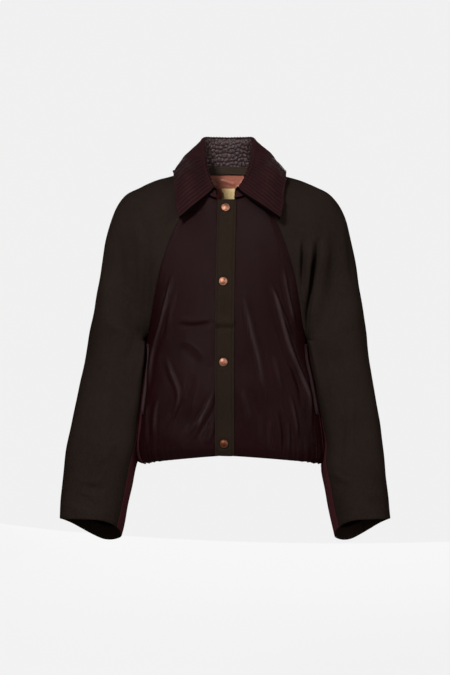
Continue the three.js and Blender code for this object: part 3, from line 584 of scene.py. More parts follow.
def wrapped_seam_share(station):
    """The same seam, reached by going on all round the section."""
    return 1 + inner_seam_share(station)


# ---- Grids of cloth ----
def grid_normals(grid):
    around = np.gradient(grid, axis=1)
    up = np.gradient(grid, axis=0)
    return unit(np.cross(around, up))


def off_the_body(points):
    """Moves a sleeve's points sideways wherever they'd press into the body's side."""
    x, y, z = np.moveaxis(points, -1, 0)
    reach = half_size("right", "left", x < 0, z)
    depth = half_size("front", "back", y < SIDE_Y, z)
    inward = np.clip(1 - (np.abs(y - SIDE_Y) / depth) ** SQUARENESS, 0, 1)
    side = reach * inward ** (1 / SQUARENESS) + SLEEVE_CLEARANCE
    beside = smoothstep((LEANING_TOP - z) / LEANING_FADE) * (z > LEANING_BOTTOM)
    short = np.clip(side - np.abs(x), 0, None) * beside
    return np.stack([x + np.sign(x) * short, y, z], axis=-1)


def blurred_normals(grid, times=3):
    """Normals smoothed over their neighbours, to offset a creased grid without tangles."""
    normals = grid_normals(grid)
    for _ in range(times):
        padded = np.pad(normals, ((1, 1), (1, 1), (0, 0)), mode="edge")
        normals = unit(
            padded[1:-1, 1:-1] * 2 + padded[:-2, 1:-1] + padded[2:, 1:-1]
            + padded[1:-1, :-2] + padded[1:-1, 2:]
        )
    return normals


def sleeve_surface(sign, station, share):
    """The sleeve's cloth with its creases, one row for each station."""
    smooth = sleeve_form(sign, station, share)
    around = np.where(share > 1, share - 1, share)
    side = "left" if sign > 0 else "right"
    front = smoothstep(around / 0.05) * smoothstep((0.5 - around) / 0.06)
    back = smoothstep((1 - around) / 0.06) * smoothstep((around - 0.5) / 0.06)
    x, z = smooth[..., 0], smooth[..., 2]
    rise = front * crease_rise(x, z, SLEEVE_CREASES[side, "front"])
    rise += back * crease_rise(x, z, SLEEVE_CREASES[side, "back"])
    edge = np.minimum(around, 1 - around)
    held = np.clip(UNDERARM + 0.8 - station, 0, 1)[:, None]
    rise += rumple(smooth) * mix(1, smoothstep(edge / 0.05), held)
    rise *= smoothstep(np.asarray(station)[:, None] / 0.8)
    outward = grid_normals(smooth) * -sign
    return off_the_body(smooth + outward * rise[..., None])


def arc_lengths(grid, axis):
    steps = np.linalg.norm(np.diff(grid, axis=axis), axis=-1)
    start = np.zeros_like(np.take(steps, [0], axis=axis))
    return np.concatenate([start, np.cumsum(steps, axis=axis)], axis=axis)


HEM_TURN = ((0.93, 0.22), (0.5, 0.45), (0.07, 0.22))  # how far in and down, in layers


def turned_up(grid):
    """Adds a hem below a grid's first row: round the edge and up inside."""
    normals = blurred_normals(grid, 6)
    rows = int(np.argmax(arc_lengths(grid, 0)[:, 0] > HEM_DEPTH))
    inside = (grid - normals * LAYER)[rows:0:-1]
    down = unit(grid[0] - grid[1])
    turn = [grid[0] - normals[0] * LAYER * far + down * LAYER * drop for far, drop in HEM_TURN]
    return np.concatenate([inside, turn, grid[1:]])


INSIDE_END = 0.001  # keeps a sample within the grid's last space


class Sampler:
    """A piece of cloth's middle surface, from which stitches, snaps and trims are placed."""

    def __init__(self, grid):
        self.grid = grid
        self.normals = blurred_normals(grid)

    def at(self, row_share, column_share):
        rows, columns = self.grid.shape[:2]
        r = np.clip(np.asarray(row_share, float) * (rows - 1), 0, rows - 1 - INSIDE_END)
        c = np.clip(np.asarray(column_share, float) * (columns - 1), 0, columns - 1 - INSIDE_END)
        i, j = r.astype(int), c.astype(int)
        u, v = (r - i)[..., None], (c - j)[..., None]

        def blend(values):
            low = mix(values[i, j], values[i, j + 1], v)
            return mix(low, mix(values[i + 1, j], values[i + 1, j + 1], v), u)

        return blend(self.grid), unit(blend(self.normals))


# ---- Meshes ----
def finish_piece(piece, node):
    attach(piece, "root")
    if node:
        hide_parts(node)


def new_mesh(name, points, faces, materials, uv=None):
    mesh = bpy.data.meshes.new(name)
    mesh.from_pydata((points * MM).tolist(), [], faces)
    for material in materials:
        mesh.materials.append(material)
    if uv is not None:
        layer = mesh.uv_layers.new(name="cut")
        loops = np.empty(len(mesh.loops), dtype=np.int64)
        mesh.loops.foreach_get("vertex_index", loops)
        layer.data.foreach_set("uv", (uv[loops] * MM).astype(np.float32).ravel())
    mesh.polygons.foreach_set("use_smooth", [True] * len(mesh.polygons))
    mesh.update()
    piece = bpy.data.objects.new(name, mesh)
    bpy.context.scene.collection.objects.link(piece)
    return piece


def grid_faces(rows, columns):
    r, c = np.meshgrid(np.arange(rows - 1), np.arange(columns - 1), indexing="ij")
    a = (r * columns + c).ravel()
    return np.stack([a, a + 1, a + 1 + columns, a + columns], axis=-1).tolist()


def ring_faces(rings, sides, first=0):
    """The faces between closed rings of points, one ring after another."""
    faces = []
    for low in range(first, first + (rings - 1) * sides, sides):
        for s in range(sides):
            a, b = low + s, low + (s + 1) % sides
            faces.append([a, b, b + sides, a + sides])
    return faces


def cloth(name, grid, materials, thickness):
    """A shell of cloth round a grid, with the cut's own lengths as its texture coordinates."""
    rows, columns = grid.shape[:2]
    across = arc_lengths(grid, 1)
    across -= across[:, columns // 2, None]
    along = arc_lengths(grid, 0).mean(axis=1, keepdims=True) + 0 * across
    uv = np.stack([across, along], axis=-1).reshape(-1, 2)
    piece = new_mesh(name, grid.reshape(-1, 3), grid_faces(rows, columns), materials, uv)
    shell = piece.modifiers.new("thickness", "SOLIDIFY")
    shell.thickness = thickness * MM
    shell.offset = 0
    shell.material_offset = 1
    shell.material_offset_rim = 0
    return piece


def store_values(piece, name, values):
    layer = piece.data.attributes.new(name, "FLOAT", "POINT")
    layer.data.foreach_set("value", values.astype(np.float32).ravel())


def sheet(name, grid, materials, node, thickness=DRAWN):
    """A piece of cloth made from a grid, which replaces a node of the CAD model."""
    piece = cloth(name, grid, materials, thickness)
    finish_piece(piece, node)
    return piece


THREAD_SIDES = 6
STITCH_STEPS = np.linspace(0, 1, 5)


def stitches(name, lines, material, length=2.5, gap=0.9, radius=0.24, sink=0.28):
    """Lines of sewn stitches: each one a short thread that rises out of the cloth and dips in."""
    points, faces = [], []
    for path, normals in lines:
        lengths = arc_lengths(path, 0)
        count = int(lengths[-1] // (length + gap))
        if count < 1:
            continue
        pitch = lengths[-1] / count
        starts = np.arange(count) * pitch + gap / 2
        at = starts[:, None] + STITCH_STEPS * (pitch - gap)
        spots = np.stack([np.interp(at, lengths, path[:, k]) for k in range(3)], axis=-1)
        ups = unit(np.stack([np.interp(at, lengths, normals[:, k]) for k in range(3)], axis=-1))
        ahead = unit(np.gradient(spots, axis=1))
        sideways = unit(np.cross(ahead, ups))
        lift = radius * (1.15 * np.sin(np.pi * STITCH_STEPS) ** 0.5) - sink
        thick = radius * (0.35 + 0.65 * np.sin(np.pi * STITCH_STEPS) ** 0.6)
        centre = spots + ups * lift[:, None]
        turns = np.arange(THREAD_SIDES) * 2 * np.pi / THREAD_SIDES
        ring = (
            centre[:, :, None]
            + sideways[:, :, None] * (np.cos(turns)[:, None] * thick[:, None, None])
            + ups[:, :, None] * (np.sin(turns)[:, None] * thick[:, None, None])
        )
        per = len(STITCH_STEPS) * THREAD_SIDES
        base = sum(len(block) for block in points)
        points.append(ring.reshape(-1, 3))
        for first in range(base, base + count * per, per):
            faces += ring_faces(len(STITCH_STEPS), THREAD_SIDES, first)
            faces.append([first + q for q in reversed(range(THREAD_SIDES))])
            faces.append([first + per - THREAD_SIDES + q for q in range(THREAD_SIDES)])
    finish_piece(new_mesh(name, np.concatenate(points), faces, [material]), None)


# ---- Materials ----
def colour(text, share=1):
    """A colour given as sRGB hexadecimal digits, in linear light, times a share of it."""
    values = [int(text[k : k + 2], 16) / 255 for k in (0, 2, 4)]
    linear = [v / 12.92 if v <= 0.04045 else ((v + 0.055) / 1.055) ** 2.4 for v in values]
    return [v * share for v in linear] + [1.0]


LIT = 0.15  # a cloth's own colour, as a share of how it looks under the studio's lights


class Shader:
    """A material's nodes, added one at a time."""

    def __init__(self, name):
        self.material = bpy.data.materials.new(name)
        self.material.use_nodes = True
        self.tree = self.material.node_tree
        self.surface = self.tree.nodes["Principled BSDF"]

    def add(self, kind, inputs=(), **settings):
        node = self.tree.nodes.new(kind)
        for key, value in settings.items():
            setattr(node, key, value)
        for key, value in dict(inputs).items():
            self.join(value, node.inputs[key])
        return node

    def join(self, value, socket):
        if isinstance(value, bpy.types.NodeSocket):
            self.tree.links.new(value, socket)
        else:
            socket.default_value = value

    def math(self, operation, a, b=0.0):
        return self.add("ShaderNodeMath", {0: a, 1: b}, operation=operation).outputs[0]

    def noise(self, vector, scale, detail=3.0, roughness=0.55):
        inputs = {"Vector": vector, "Scale": scale, "Detail": detail, "Roughness": roughness}
        return self.add("ShaderNodeTexNoise", inputs).outputs["Fac"]

    def coordinate(self, kind):
        return self.add("ShaderNodeTexCoord").outputs[kind]

    def drawn_out(self, vector, share):
        """Coordinates in which a texture is drawn out lengthwise, to one over a share."""
        inputs = {"Vector": vector, "Scale": (1.0, 1.0, share)}
        return self.add("ShaderNodeMapping", inputs).outputs[0]

    def stored(self, name):
        return self.add("ShaderNodeAttribute", attribute_name=name).outputs["Fac"]

    def between(self, share, low, high):
        """A value that runs from low to high as share runs from 0.35 to 0.65."""
        inputs = {"Value": share, "From Min": 0.35, "From Max": 0.65, "To Min": low, "To Max": high}
        return self.add("ShaderNodeMapRange", inputs).outputs[0]

    def blend(self, share, first, second):
        node = self.add("ShaderNodeMix", data_type="RGBA")
        self.join(share, node.inputs[0])
        self.join(first, node.inputs[6])
        self.join(second, node.inputs[7])
        return node.outputs[2]

    def bump(self, height, distance, strength=1.0, under=None):
        inputs = {"Height": height, "Distance": distance, "Strength": strength}
        if under is not None:
            inputs["Normal"] = under
        return self.add("ShaderNodeBump", inputs).outputs["Normal"]

    def set(self, **values):
        for key, value in values.items():
            self.join(value, self.surface.inputs[key.replace("_", " ")])


def thread_waves(shader, pitch, twill):
    """The height of a weave, 0 to 1, from the cut's own coordinates."""
    parts = shader.add("ShaderNodeSeparateXYZ", {"Vector": shader.coordinate("UV")})
    u = shader.math("MULTIPLY", parts.outputs["X"], 2 * np.pi / pitch)
    v = shader.math("MULTIPLY", parts.outputs["Y"], 2 * np.pi / pitch)
    if twill:
        ribs = shader.math("SINE", shader.math("ADD", u, v))
        threads = shader.math("SINE", shader.math("MULTIPLY", u, 2.0))
        height = shader.math("ADD", ribs, shader.math("MULTIPLY", threads, 0.35))
    else:
        height = shader.math("MULTIPLY", shader.math("SINE", u), shader.math("SINE", v))
    return shader.math("MULTIPLY_ADD", height, 0.5)  # the node's third input adds 0.5


CANVAS, THREAD = 0.0009, 0.0003  # the pitch of their threads, in metres
CLOUD_SCALE, FLECK_SCALE, SLUB_SCALE, WRINKLE_SCALE = 9.0, 260.0, 420.0, 70.0  # to the metre
TARNISH_SCALE, SCRATCH_SCALE = 190.0, 2600.0
PADDING_SHADE = "padding"  # how full a quilted cloth is, from 0 along its stitching to 1; its hollows are darkened by it as painted shade
WEAR_AND_SHEEN = "wear_and_sheen"  # how far a coated cloth is painted pale, from 0 to 1 along the tops of its creases: painted highlight, with some rubbing of the coating


def fabric(name, base, deep, pale, pitch=0.00075, twill=False, roughness=0.75, sheen=0.0,
           sheen_tint=(1, 1, 1), specular=0.0, relief=0.00012, grain=0.00025, lit=LIT,
           hollow=None, rubbed_and_sheen=None):
    """Woven cloth: three close colours in soft clouds, a weave, and slubs and tiny wrinkles."""
    shader = Shader(name)
    place = shader.coordinate("Object")
    clouds = shader.noise(place, CLOUD_SCALE, 4.0)
    flecks = shader.noise(place, FLECK_SCALE, 2.0)
    slubs = shader.noise(shader.drawn_out(place, 0.14), SLUB_SCALE, 1.0)
    weave = thread_waves(shader, pitch, twill)
    base, deep, pale = colour(base, lit), colour(deep, lit), colour(pale, lit)
    tone = shader.blend(shader.between(clouds, 0.0, 1.0), deep, base)
    tone = shader.blend(shader.between(flecks, 0.0, 0.32), tone, pale)
    tone = shader.blend(shader.math("MULTIPLY", weave, 0.22), tone, deep)
    # painted shade: the quilting's hollows are darkened toward the hollow colour
    if hollow:
        tone = shader.blend(shader.stored(PADDING_SHADE), colour(hollow, lit), tone)
    # painted highlight: the tops of the creases are mixed toward a pale colour, with some rubbing of
    # the coating
    if rubbed_and_sheen:
        tone = shader.blend(shader.stored(WEAR_AND_SHEEN), tone, colour(rubbed_and_sheen, lit))
    wrinkled = shader.bump(shader.noise(place, WRINKLE_SCALE, 5.0, 0.62), grain, 1.0)
    slubbed = shader.bump(slubs, relief, 0.8, wrinkled)
    woven = shader.bump(weave, relief, 1.0, slubbed)
    shader.set(Base_Color=tone, Normal=woven)
    shader.set(Roughness=shader.between(clouds, roughness - 0.05, roughness + 0.05))
    shader.set(Sheen_Weight=sheen, Sheen_Roughness=0.45, Sheen_Tint=(*sheen_tint, 1.0))
    shader.set(Specular_IOR_Level=specular)
    return shader.material


def plain_metal(name, base, deep, roughness):
    """Tarnished metal with fine scratches."""
    shader = Shader(name)
    place = shader.coordinate("Object")
    tarnish = shader.noise(place, TARNISH_SCALE, 5.0, 0.6)
    scratches = shader.noise(shader.drawn_out(place, 0.08), SCRATCH_SCALE, 2.0)
    tone = shader.blend(shader.between(tarnish, 0.0, 1.0), colour(deep), colour(base))
    shader.set(Base_Color=tone, Metallic=1.0)
    shader.set(Roughness=shader.between(tarnish, roughness, roughness + 0.14))
    shader.set(Normal=shader.bump(scratches, 0.00003, 0.6))
    return shader.material


# The aubergine's pale second colour is painted highlight along the fronts' crease tops, with some
# rubbing.
AUBERGINE = fabric("aubergine_cotton", "2d0f11", "250b0d", "3a191c", roughness=0.33, sheen=0.001,
                   sheen_tint=(1.0, 0.7, 0.72), specular=0.02, rubbed_and_sheen="69585a")
WINE = fabric("wine_cotton", "5f3337", "51292d", "70403f", roughness=0.5)
OLIVE = fabric("olive_canvas", "3a2f2a", "322823", "483d36", pitch=CANVAS, twill=True, roughness=0.5)
PLACKET = fabric("placket_canvas", "382a21", "302319", "46372d", pitch=CANVAS, twill=True,
                 roughness=0.55, sheen=0.002, sheen_tint=(1.0, 0.88, 0.8), specular=0.016)
TAPE = fabric("tape_twill", "3c3028", "332821", "4b3d34", pitch=0.0014, twill=True, roughness=0.7,
              sheen=0.004, specular=0.03, lit=0.3)
# The collar cloths' hollow colours are painted shade in the hollows of their quilting.
COLLAR_CLOTH = fabric("collar_cotton", "412527", "371e20", "513234", roughness=0.5, sheen=0.001,
                      sheen_tint=(1.0, 0.75, 0.76), specular=0.004, hollow="14090a")
# The stand's facing is a paler cloth, and its paleness is partly painted sheen.
STAND_CLOTH = fabric("collar_stand_cotton", "603f41", "523436", "785a5b", roughness=0.36,
                     sheen=0.004, sheen_tint=(1.0, 0.85, 0.86), specular=0.14, hollow="2a1416")
# A near-black cloth that is painted shadow: beneath the leaves' front edges and on the collar's hidden
# undersides.
UNDER_COLLAR_SHADOW = fabric("under_collar_painted_shadow", "0c0506", "080303", "120809", roughness=0.9, specular=0.01)
SATIN = fabric("copper_satin", "c2725c", "a25844", "dc9c84", pitch=0.0004, roughness=0.34,
               sheen=0.02, specular=0.25, relief=0.00004, grain=0.0002, lit=0.3)
GOLD_WEAVE = fabric("gold_weave", "f4d288", "c89c4c", "fffbe0", pitch=0.0018, roughness=0.36,
                    sheen=0.01, specular=0.4, relief=0.0004, lit=0.5)
# The inside faces are near-black: the cloth's wrong side, darkened further as painted shade inside the
# jacket.
INSIDE = fabric("inside_cloth", "170e0c", "120a09", "211615", roughness=0.8, specular=0.015)
# The cuffs' turned-up facing is a lighter copy of the olive, lit=0.22: painted light for cuffs that
# lie in shade.
CUFF_FACING = fabric("cuff_facing", "33271f", "291f19", "3f332b", roughness=0.7, lit=0.22)
COPPER = plain_metal("copper_metal", "6e4c3e", "52362a", 0.42)
DARK_COPPER = plain_metal("dark_copper_metal", "4c2c1e", "341c12", 0.46)
AUBERGINE_THREAD = fabric("aubergine_thread", "311a1d", "261214", "45292c", pitch=THREAD,
                          specular=0.06)
OLIVE_THREAD = fabric("olive_thread", "382c22", "2d231d", "4b3e34", pitch=THREAD, specular=0.05)
COLLAR_THREAD = fabric("collar_thread", "2a1416", "200e10", "402426", pitch=THREAD, specular=0.06)


# ---- Body panels ----
def shares(count):
    return np.linspace(0, 1, count)[None, :]


def levels(count):
    return np.linspace(0, 1, count)[:, None]


# How many points each panel has along it and across it.
FRONT_GRID, BACK_GRID, SLEEVE_GRID, UNDER_GRID = (184, 72), (160, 136), (226, 104), (170, 42)
RIDGE_WEAR_AND_SHEEN, FULL_WEAR_AND_SHEEN = 0.42, 4  # the most that a ridge is painted pale, as highlight with some rubbing, and the height where it is


def set_wear_and_sheen(piece, grid):
    """Stores how far the cloth is painted pale along the tops of the ridges, unevenly: painted
    highlight where they catch the light, with some rubbing of the coating.
    """
    ridges = [crease for crease in FRONT_CREASES if crease[1] > 0]
    height = crease_rise(grid[..., 0], grid[..., 2], ridges)
    patches = np.clip(0.75 + 0.5 * rumple(grid), 0.15, 1)
    store_values(piece, WEAR_AND_SHEEN, RIDGE_WEAR_AND_SHEEN * np.clip(height / FULL_WEAR_AND_SHEEN, 0, 1) ** 2 * patches)


def add_front(side, sign):
    row, share = levels(FRONT_GRID[0]) * BODY_ROWS, shares(FRONT_GRID[1])
    grid = body_surface(*front_place(sign, row, share), seam_freedom(row, 1 - share))
    grid = grid if sign > 0 else grid[:, ::-1]
    hemmed = turned_up(grid)
    piece = sheet(f"front_{side}_cloth", hemmed, [AUBERGINE, INSIDE], f"front_{side}")
    set_wear_and_sheen(piece, hemmed)
    return Sampler(grid)


def add_back():
    row, share = levels(BACK_GRID[0]) * BODY_ROWS, shares(BACK_GRID[1])
    freedom = seam_freedom(row, 1 - np.abs(2 * share - 1))
    grid = body_surface(*back_place(row, share), freedom)
    sheet("back_cloth", turned_up(grid), [WINE, INSIDE], "back")
    return Sampler(grid)


# ---- Sleeves ----
def sleeve_grid(sign, first, start, end, size):
    station = np.linspace(first, SLEEVE_STATIONS, size[0])
    share = mix(start(station)[:, None], end(station)[:, None], shares(size[1]))
    grid = sleeve_surface(sign, station, share)
    return grid[:, ::-1] if sign > 0 else grid


ROW_STEP = SLEEVE_STATIONS / (SLEEVE_GRID[0] - 1)  # the upper panel's stations from row to row
UNDER_START = ROW_STEP * np.floor((UNDER_TOP - 0.01) / ROW_STEP)  # its last full-width row


def under_seam_share(station):
    """The back seam, begun in a point where the upper panel's edge leaves the body."""
    opening = mix(1, back_seam_share(UNDER_START + ROW_STEP), (station - UNDER_START) / ROW_STEP)
    opening = np.minimum(opening, 1 - UNDER_POINT)
    return np.where(station < UNDER_START + ROW_STEP, opening, back_seam_share(station))


def add_sleeve_panel(name, grid, material):
    hemmed = turned_up(grid[::-1, ::-1])
    materials = [material, INSIDE, CUFF_FACING, INSIDE]
    piece = sheet(name + "_cloth", hemmed, materials, name)
    turned_faces = (len(hemmed) - len(grid)) * (hemmed.shape[1] - 1)
    for face in piece.data.polygons[:turned_faces]:
        face.material_index = 2
    return Sampler(grid)


def add_sleeve(side, sign):
    whole = sleeve_grid(sign, 0.0, inner_seam_share, back_seam_share, SLEEVE_GRID)
    under = sleeve_grid(sign, UNDER_START, under_seam_share, wrapped_seam_share, UNDER_GRID)
    upper = add_sleeve_panel(f"sleeve_upper_{side}", whole, OLIVE)
    gore = add_sleeve_panel(f"sleeve_under_{side}", under, WINE)
    return upper, gore


fronts = {"right": add_front("right", -1), "left": add_front("left", 1)}
back = add_back()
sleeves = {"right": add_sleeve("right", -1), "left": add_sleeve("left", 1)}


# ---- Collar ----
BACK_SHARE, FRONT_SHARE = 0.2, 0.8  # where along it the neck runs on to the sleeve and the front
ROLL_STEP = 0.5  # how far along its section the collar turns over
FACING_STEP = 0.37  # where the stand's own facing ends, just inside the turn
FACING_FADE = 0.07  # how far from there its colour falls to the painted shade of the hollows, as shade under the fall
FALL_SIZE, STAND_SIZE, UNDER_COLLAR_SIZE = (620, 66), (330, 64), (220, 40)
QUILT_PITCH = 6.2  # between the rows of stitching on the fall
QUILT_SLOPE = 41 * DEGREE  # the slope of the leaves' front edges, which the rows follow
PEBBLE = 7.2  # width of the stand's cushions
PEBBLE_HEIGHT, PEBBLE_STRAY = 1.15, 0.42  # their height and how far they stray, as shares of it
CREVICE = 0.62  # how much nearer its own middle a cushion is at its full height, likewise
FULL_COLOUR = 0.62  # how full the padding is where its painted hollow shade ends and it has its full colour
QUILT_TURN = 0.5  # how far along the collar the rows turn to run straight down its back
UNDER_COLLAR_MARGIN = 3.8  # how far the under collar, painted near-black as the shadow beneath the leaves, shows past the front edges
STAND_END = 0.36  # where the under collar's wine stand meets its fall, painted near-black as shadow
STAND_DROP = 8  # how far the inside of the stand reaches down behind the fronts


def neck_point(sign, along):
    top = np.array(float(BODY_ROWS))
    if along < BACK_SHARE:
        return body_point(*back_place(top, np.array(0.5 - sign * along / BACK_SHARE / 2)))
    if along < FRONT_SHARE:
        share = np.array([[(FRONT_SHARE - along) / (FRONT_SHARE - BACK_SHARE)]])
        return sleeve_form(sign, [0.0], share)[0, 0]
    return body_point(*front_place(sign, top, np.array((1 - along) / (1 - FRONT_SHARE))))


def collar_controls(sign, along, drop=0.0):
    def sample(key):
        point = [smooth_at(COLLAR["along"], COLLAR[f"{key}_{axis}"], along) for axis in "xyz"]
        return np.array(point) * [sign, 1, 1]

    sideways = np.array([1, 0, 0])
    neck = neck_point(sign, along * 0.985)
    over_shoulder = np.clip((along - 0.35) / 0.35, 0, 1)
    neck[2] += mix(COLLAR_LIFT_BACK, COLLAR_LIFT_FRONT - drop, over_shoulder)
    roll = sample("roll") + COLLAR_FRONT_SHIFT * np.clip((along - 0.55) / 0.45, 0, 1) * sideways
    edge = sample("edge") + LEAF_SHIFT * np.clip((along - 0.1) / 0.3, 0, 1) * sideways
    out = unit((edge - roll) * [1, 1, 0]) * COLLAR_ROLL
    below = np.array([0, 0, -COLLAR_ROLL])
    inside, outside = roll - out + below, roll + out + below
    stand = mix(neck, inside, 0.5)
    fall = mix(outside, edge, 0.5) + sample("crown")
    return np.array([neck, stand, inside, roll, outside, fall, edge])


def collar_grid(size, start, end, drop=0.0):
    """Part of the collar's surface, with how far along and how far round its section it lies."""
    places = np.linspace(-1, 1, size[0])
    steps = np.linspace(start, end, size[1])
    controls = np.array([collar_controls(-1 if k < 0 else 1, abs(k), drop) for k in places])
    return catmull_rom(controls, steps), places[:, None], steps[None, :]


def run_from_middle(grid, column):
    run = arc_lengths(grid, 0)[:, column]
    return np.abs(run - run[len(run) // 2])[:, None]


def ribbed_rows(grid, places):
    """How full the fall's padding is: slanting ribs that turn to run straight down its back."""
    down = arc_lengths(grid, 1)
    slanting = np.abs(grid[..., 0]) * np.sin(QUILT_SLOPE) + grid[..., 2] * np.cos(QUILT_SLOPE)
    straight_down = -run_from_middle(grid, grid.shape[1] // 2) + 0 * down
    turn = np.argmin(np.abs(places - QUILT_TURN))
    straight_down += (slanting[turn] - straight_down[turn]).mean()
    leaf = smoothstep((np.abs(places) - QUILT_TURN + 0.12) / 0.24)
    rows = mix(straight_down, slanting, leaf) / QUILT_PITCH * np.pi
    return np.abs(np.sin(rows + 0.15 * np.sin(down / 6.0))) ** 0.7


def pebbles(grid, places):
    """How full the stand's padding is: small cushions packed at random, none like the next."""
    down = arc_lengths(grid, 1) / PEBBLE / PEBBLE_HEIGHT
    across = run_from_middle(grid, grid.shape[1] // 2) * np.sign(places) / PEBBLE + 0 * down
    shifts = np.random.default_rng(5).uniform(-PEBBLE_STRAY, PEBBLE_STRAY, (400, 2))
    nearest, second = np.full(down.shape, 9.0), np.full(down.shape, 9.0)
    for level in (-1, 0, 1):
        for step in (-2, -1, 0, 1):
            column, row = np.floor(across) + step, np.floor(down) + level
            shift = shifts[(column * 13 + row * 57).astype(int) % len(shifts)]
            middle_across = column + 0.5 + 0.5 * (row % 2) + shift[..., 0]
            middle_down = row + 0.5 + shift[..., 1]
            distance = np.hypot(across - middle_across, down - middle_down)
            second = np.minimum(second, np.maximum(distance, nearest))
            nearest = np.minimum(nearest, distance)
    return smoothstep((second - nearest) / CREVICE)


def set_padding_shade(piece, values):
    """Stores how full the padding is, for the cloth's colour to darken in its hollows as painted
    shade.
    """
    store_values(piece, PADDING_SHADE, smoothstep(values / FULL_COLOUR))


def wavy_edge(grid, places, steps):
    """The fall lifts a little unevenly toward its outer edge."""
    wave = 1.1 * np.sin(places * 17 + 0.6) + 0.8 * np.sin(places * 41 + 2.0)
    wave += 0.4 * np.sin(places * 83)
    return grid + grid_normals(grid) * (smoothstep((steps - 0.62) / 0.38) * wave)[..., None]


def add_fall():
    grid, places, steps = collar_grid(FALL_SIZE, FACING_STEP, 1, STAND_DROP)
    grid = wavy_edge(grid, places, steps)
    padding = ribbed_rows(grid, places)
    down, run = arc_lengths(grid, 1), arc_lengths(grid, 0)
    to_edge = np.minimum(down[:, -1, None] - down, np.minimum(run, run[-1] - run))
    padding = mix(1, padding, smoothstep((to_edge - 1) / 3))
    rim = 0.7 * bell(to_edge - 1.6, 1.3) - 0.5 * bell(to_edge - 4.2, 1.0)
    height = LAYER / 2 - 0.5 + 1.5 * padding + rim * smoothstep((steps - 0.5) / 0.1)
    ribbed = grid - grid_normals(grid) * height[..., None]
    piece = sheet("collar_fall_cloth", ribbed, [UNDER_COLLAR_SHADOW, COLLAR_CLOTH], "upper_collar")
    set_padding_shade(piece, padding)
    return Sampler(ribbed)


def add_stand():
    grid, places, steps = collar_grid(STAND_SIZE, 0, FACING_STEP, STAND_DROP)
    padding = pebbles(grid, places)
    height = LAYER / 2 + 0.1 + 1.6 * padding
    cushioned = grid - grid_normals(grid) * height[..., None]
    piece = sheet("collar_stand_cloth", cushioned, [UNDER_COLLAR_SHADOW, STAND_CLOTH], "upper_collar")
    # painted shade: the stand darkens toward the turn, under the fall
    set_padding_shade(piece, padding * smoothstep((FACING_STEP - steps) / FACING_FADE))


def add_under_collar():
    grid, places, steps = collar_grid(UNDER_COLLAR_SIZE, 0, 1)
    grid = wavy_edge(grid, places, steps)
    plain = grid + grid_normals(grid) * LAYER / 2
    margin = UNDER_COLLAR_MARGIN * smoothstep((steps - ROLL_STEP - 0.05) / 0.15)[0, :, None]
    for end, inner in ((0, 1), (-1, -2)):
        plain[end] += unit(plain[end] - plain[inner]) * margin
    materials = [UNDER_COLLAR_SHADOW, UNDER_COLLAR_SHADOW, COLLAR_CLOTH, COLLAR_CLOTH]
    piece = sheet("under_collar_cloth", plain, materials, "under_collar")
    columns = UNDER_COLLAR_SIZE[1]
    for face in piece.data.polygons:
        face.material_index = 2 if face.index % (columns - 1) < STAND_END * columns else 0
    set_padding_shade(piece, np.ones(plain.shape[:2]))


add_under_collar()
add_stand()
collar = add_fall()


# ---- Placket and the strip beneath it ----
PLACKET_GRID, PLACKET_UNDER_GRID = (420, 40), (120, 8)
FOLD_HEIGHT, FOLD_RISE = -258, 1.8  # a fold across the placket, with a hollow 10 mm below it


def strip_grid(inset, size, lift):
    row, share = levels(size[0]) * BODY_ROWS, shares(size[1])
    z = middle_height(HEM_FRONT, NECK_FRONT, row) + 0 * share
    angle = front_angle(mix(placket_edge(-1, z) + inset, placket_edge(1, z) - inset, share), z)
    surface = body_surface(angle, z, 1.0)
    return surface + body_outward(angle, z) * lift


def snap_dimples(grid):
    """How far the cloth is drawn in round each snap."""
    total = np.zeros(grid.shape[:2])
    for height, sway in zip(SNAP_HEIGHTS, SNAP_SWAY):
        middle = PLACKET_MIDDLE + smooth_at(*PLACKET_LEAN, height) + sway
        distance = np.hypot(grid[..., 0] - middle, grid[..., 2] - height)
        total += 0.25 * bell(distance - SNAP_RADIUS - 6, 3.0) - 0.7 * bell(distance - SNAP_RADIUS, 3.2)
    return total


def add_placket():
    over = strip_grid(0, PLACKET_GRID, LAYER + SEAM_GAP)
    z = over[..., 2]
    puckers = 0.22 * np.sin(z / 3.1) * np.sin(z / 11 + 1)
    rim = np.abs(np.linspace(-1, 1, over.shape[1]))[None, :]
    inset = (1 - rim) * PLACKET_WIDTH / 2
    sewn = 0.5 * bell(inset - 1.6, 1.2) - 0.9 * bell(inset - 4.2, 1.3)
    rise = snap_dimples(over) + puckers * smoothstep((rim - 0.55) / 0.45) + sewn
    bands = FOLD_RISE * (bell(z - FOLD_HEIGHT, 7) - bell(z - FOLD_HEIGHT + 10, 5))
    over = over + grid_normals(over) * (rise + bands)[..., None]
    sheet("placket_cloth", over, [PLACKET, INSIDE], "placket")
    under = strip_grid(PLACKET_OVERLAP + 4, PLACKET_UNDER_GRID, 0)
    sheet("placket_under_cloth", under, [PLACKET, INSIDE], "placket_under")
    return Sampler(over)


placket = add_placket()


# ---- Snaps ----
def lathe(profile, centre, axis, sides):
    """Points and faces of a profile of (radius, height) turned round an axis."""
    seed = np.array([1.0, 0, 0])
    east = unit(seed - axis * (seed @ axis))
    north = np.cross(axis, east)
    turns = np.arange(sides) * 2 * np.pi / sides
    radii, heights = np.array(profile).T
    ring = np.cos(turns)[:, None] * east + np.sin(turns)[:, None] * north
    points = centre + radii[:, None, None] * ring + heights[:, None, None] * axis
    last = (len(profile) - 1) * sides
    faces = ring_faces(len(profile), sides)
    faces.append(list(reversed(range(sides))))
    faces.append([last + s for s in range(sides)])
    return points.reshape(-1, 3), faces


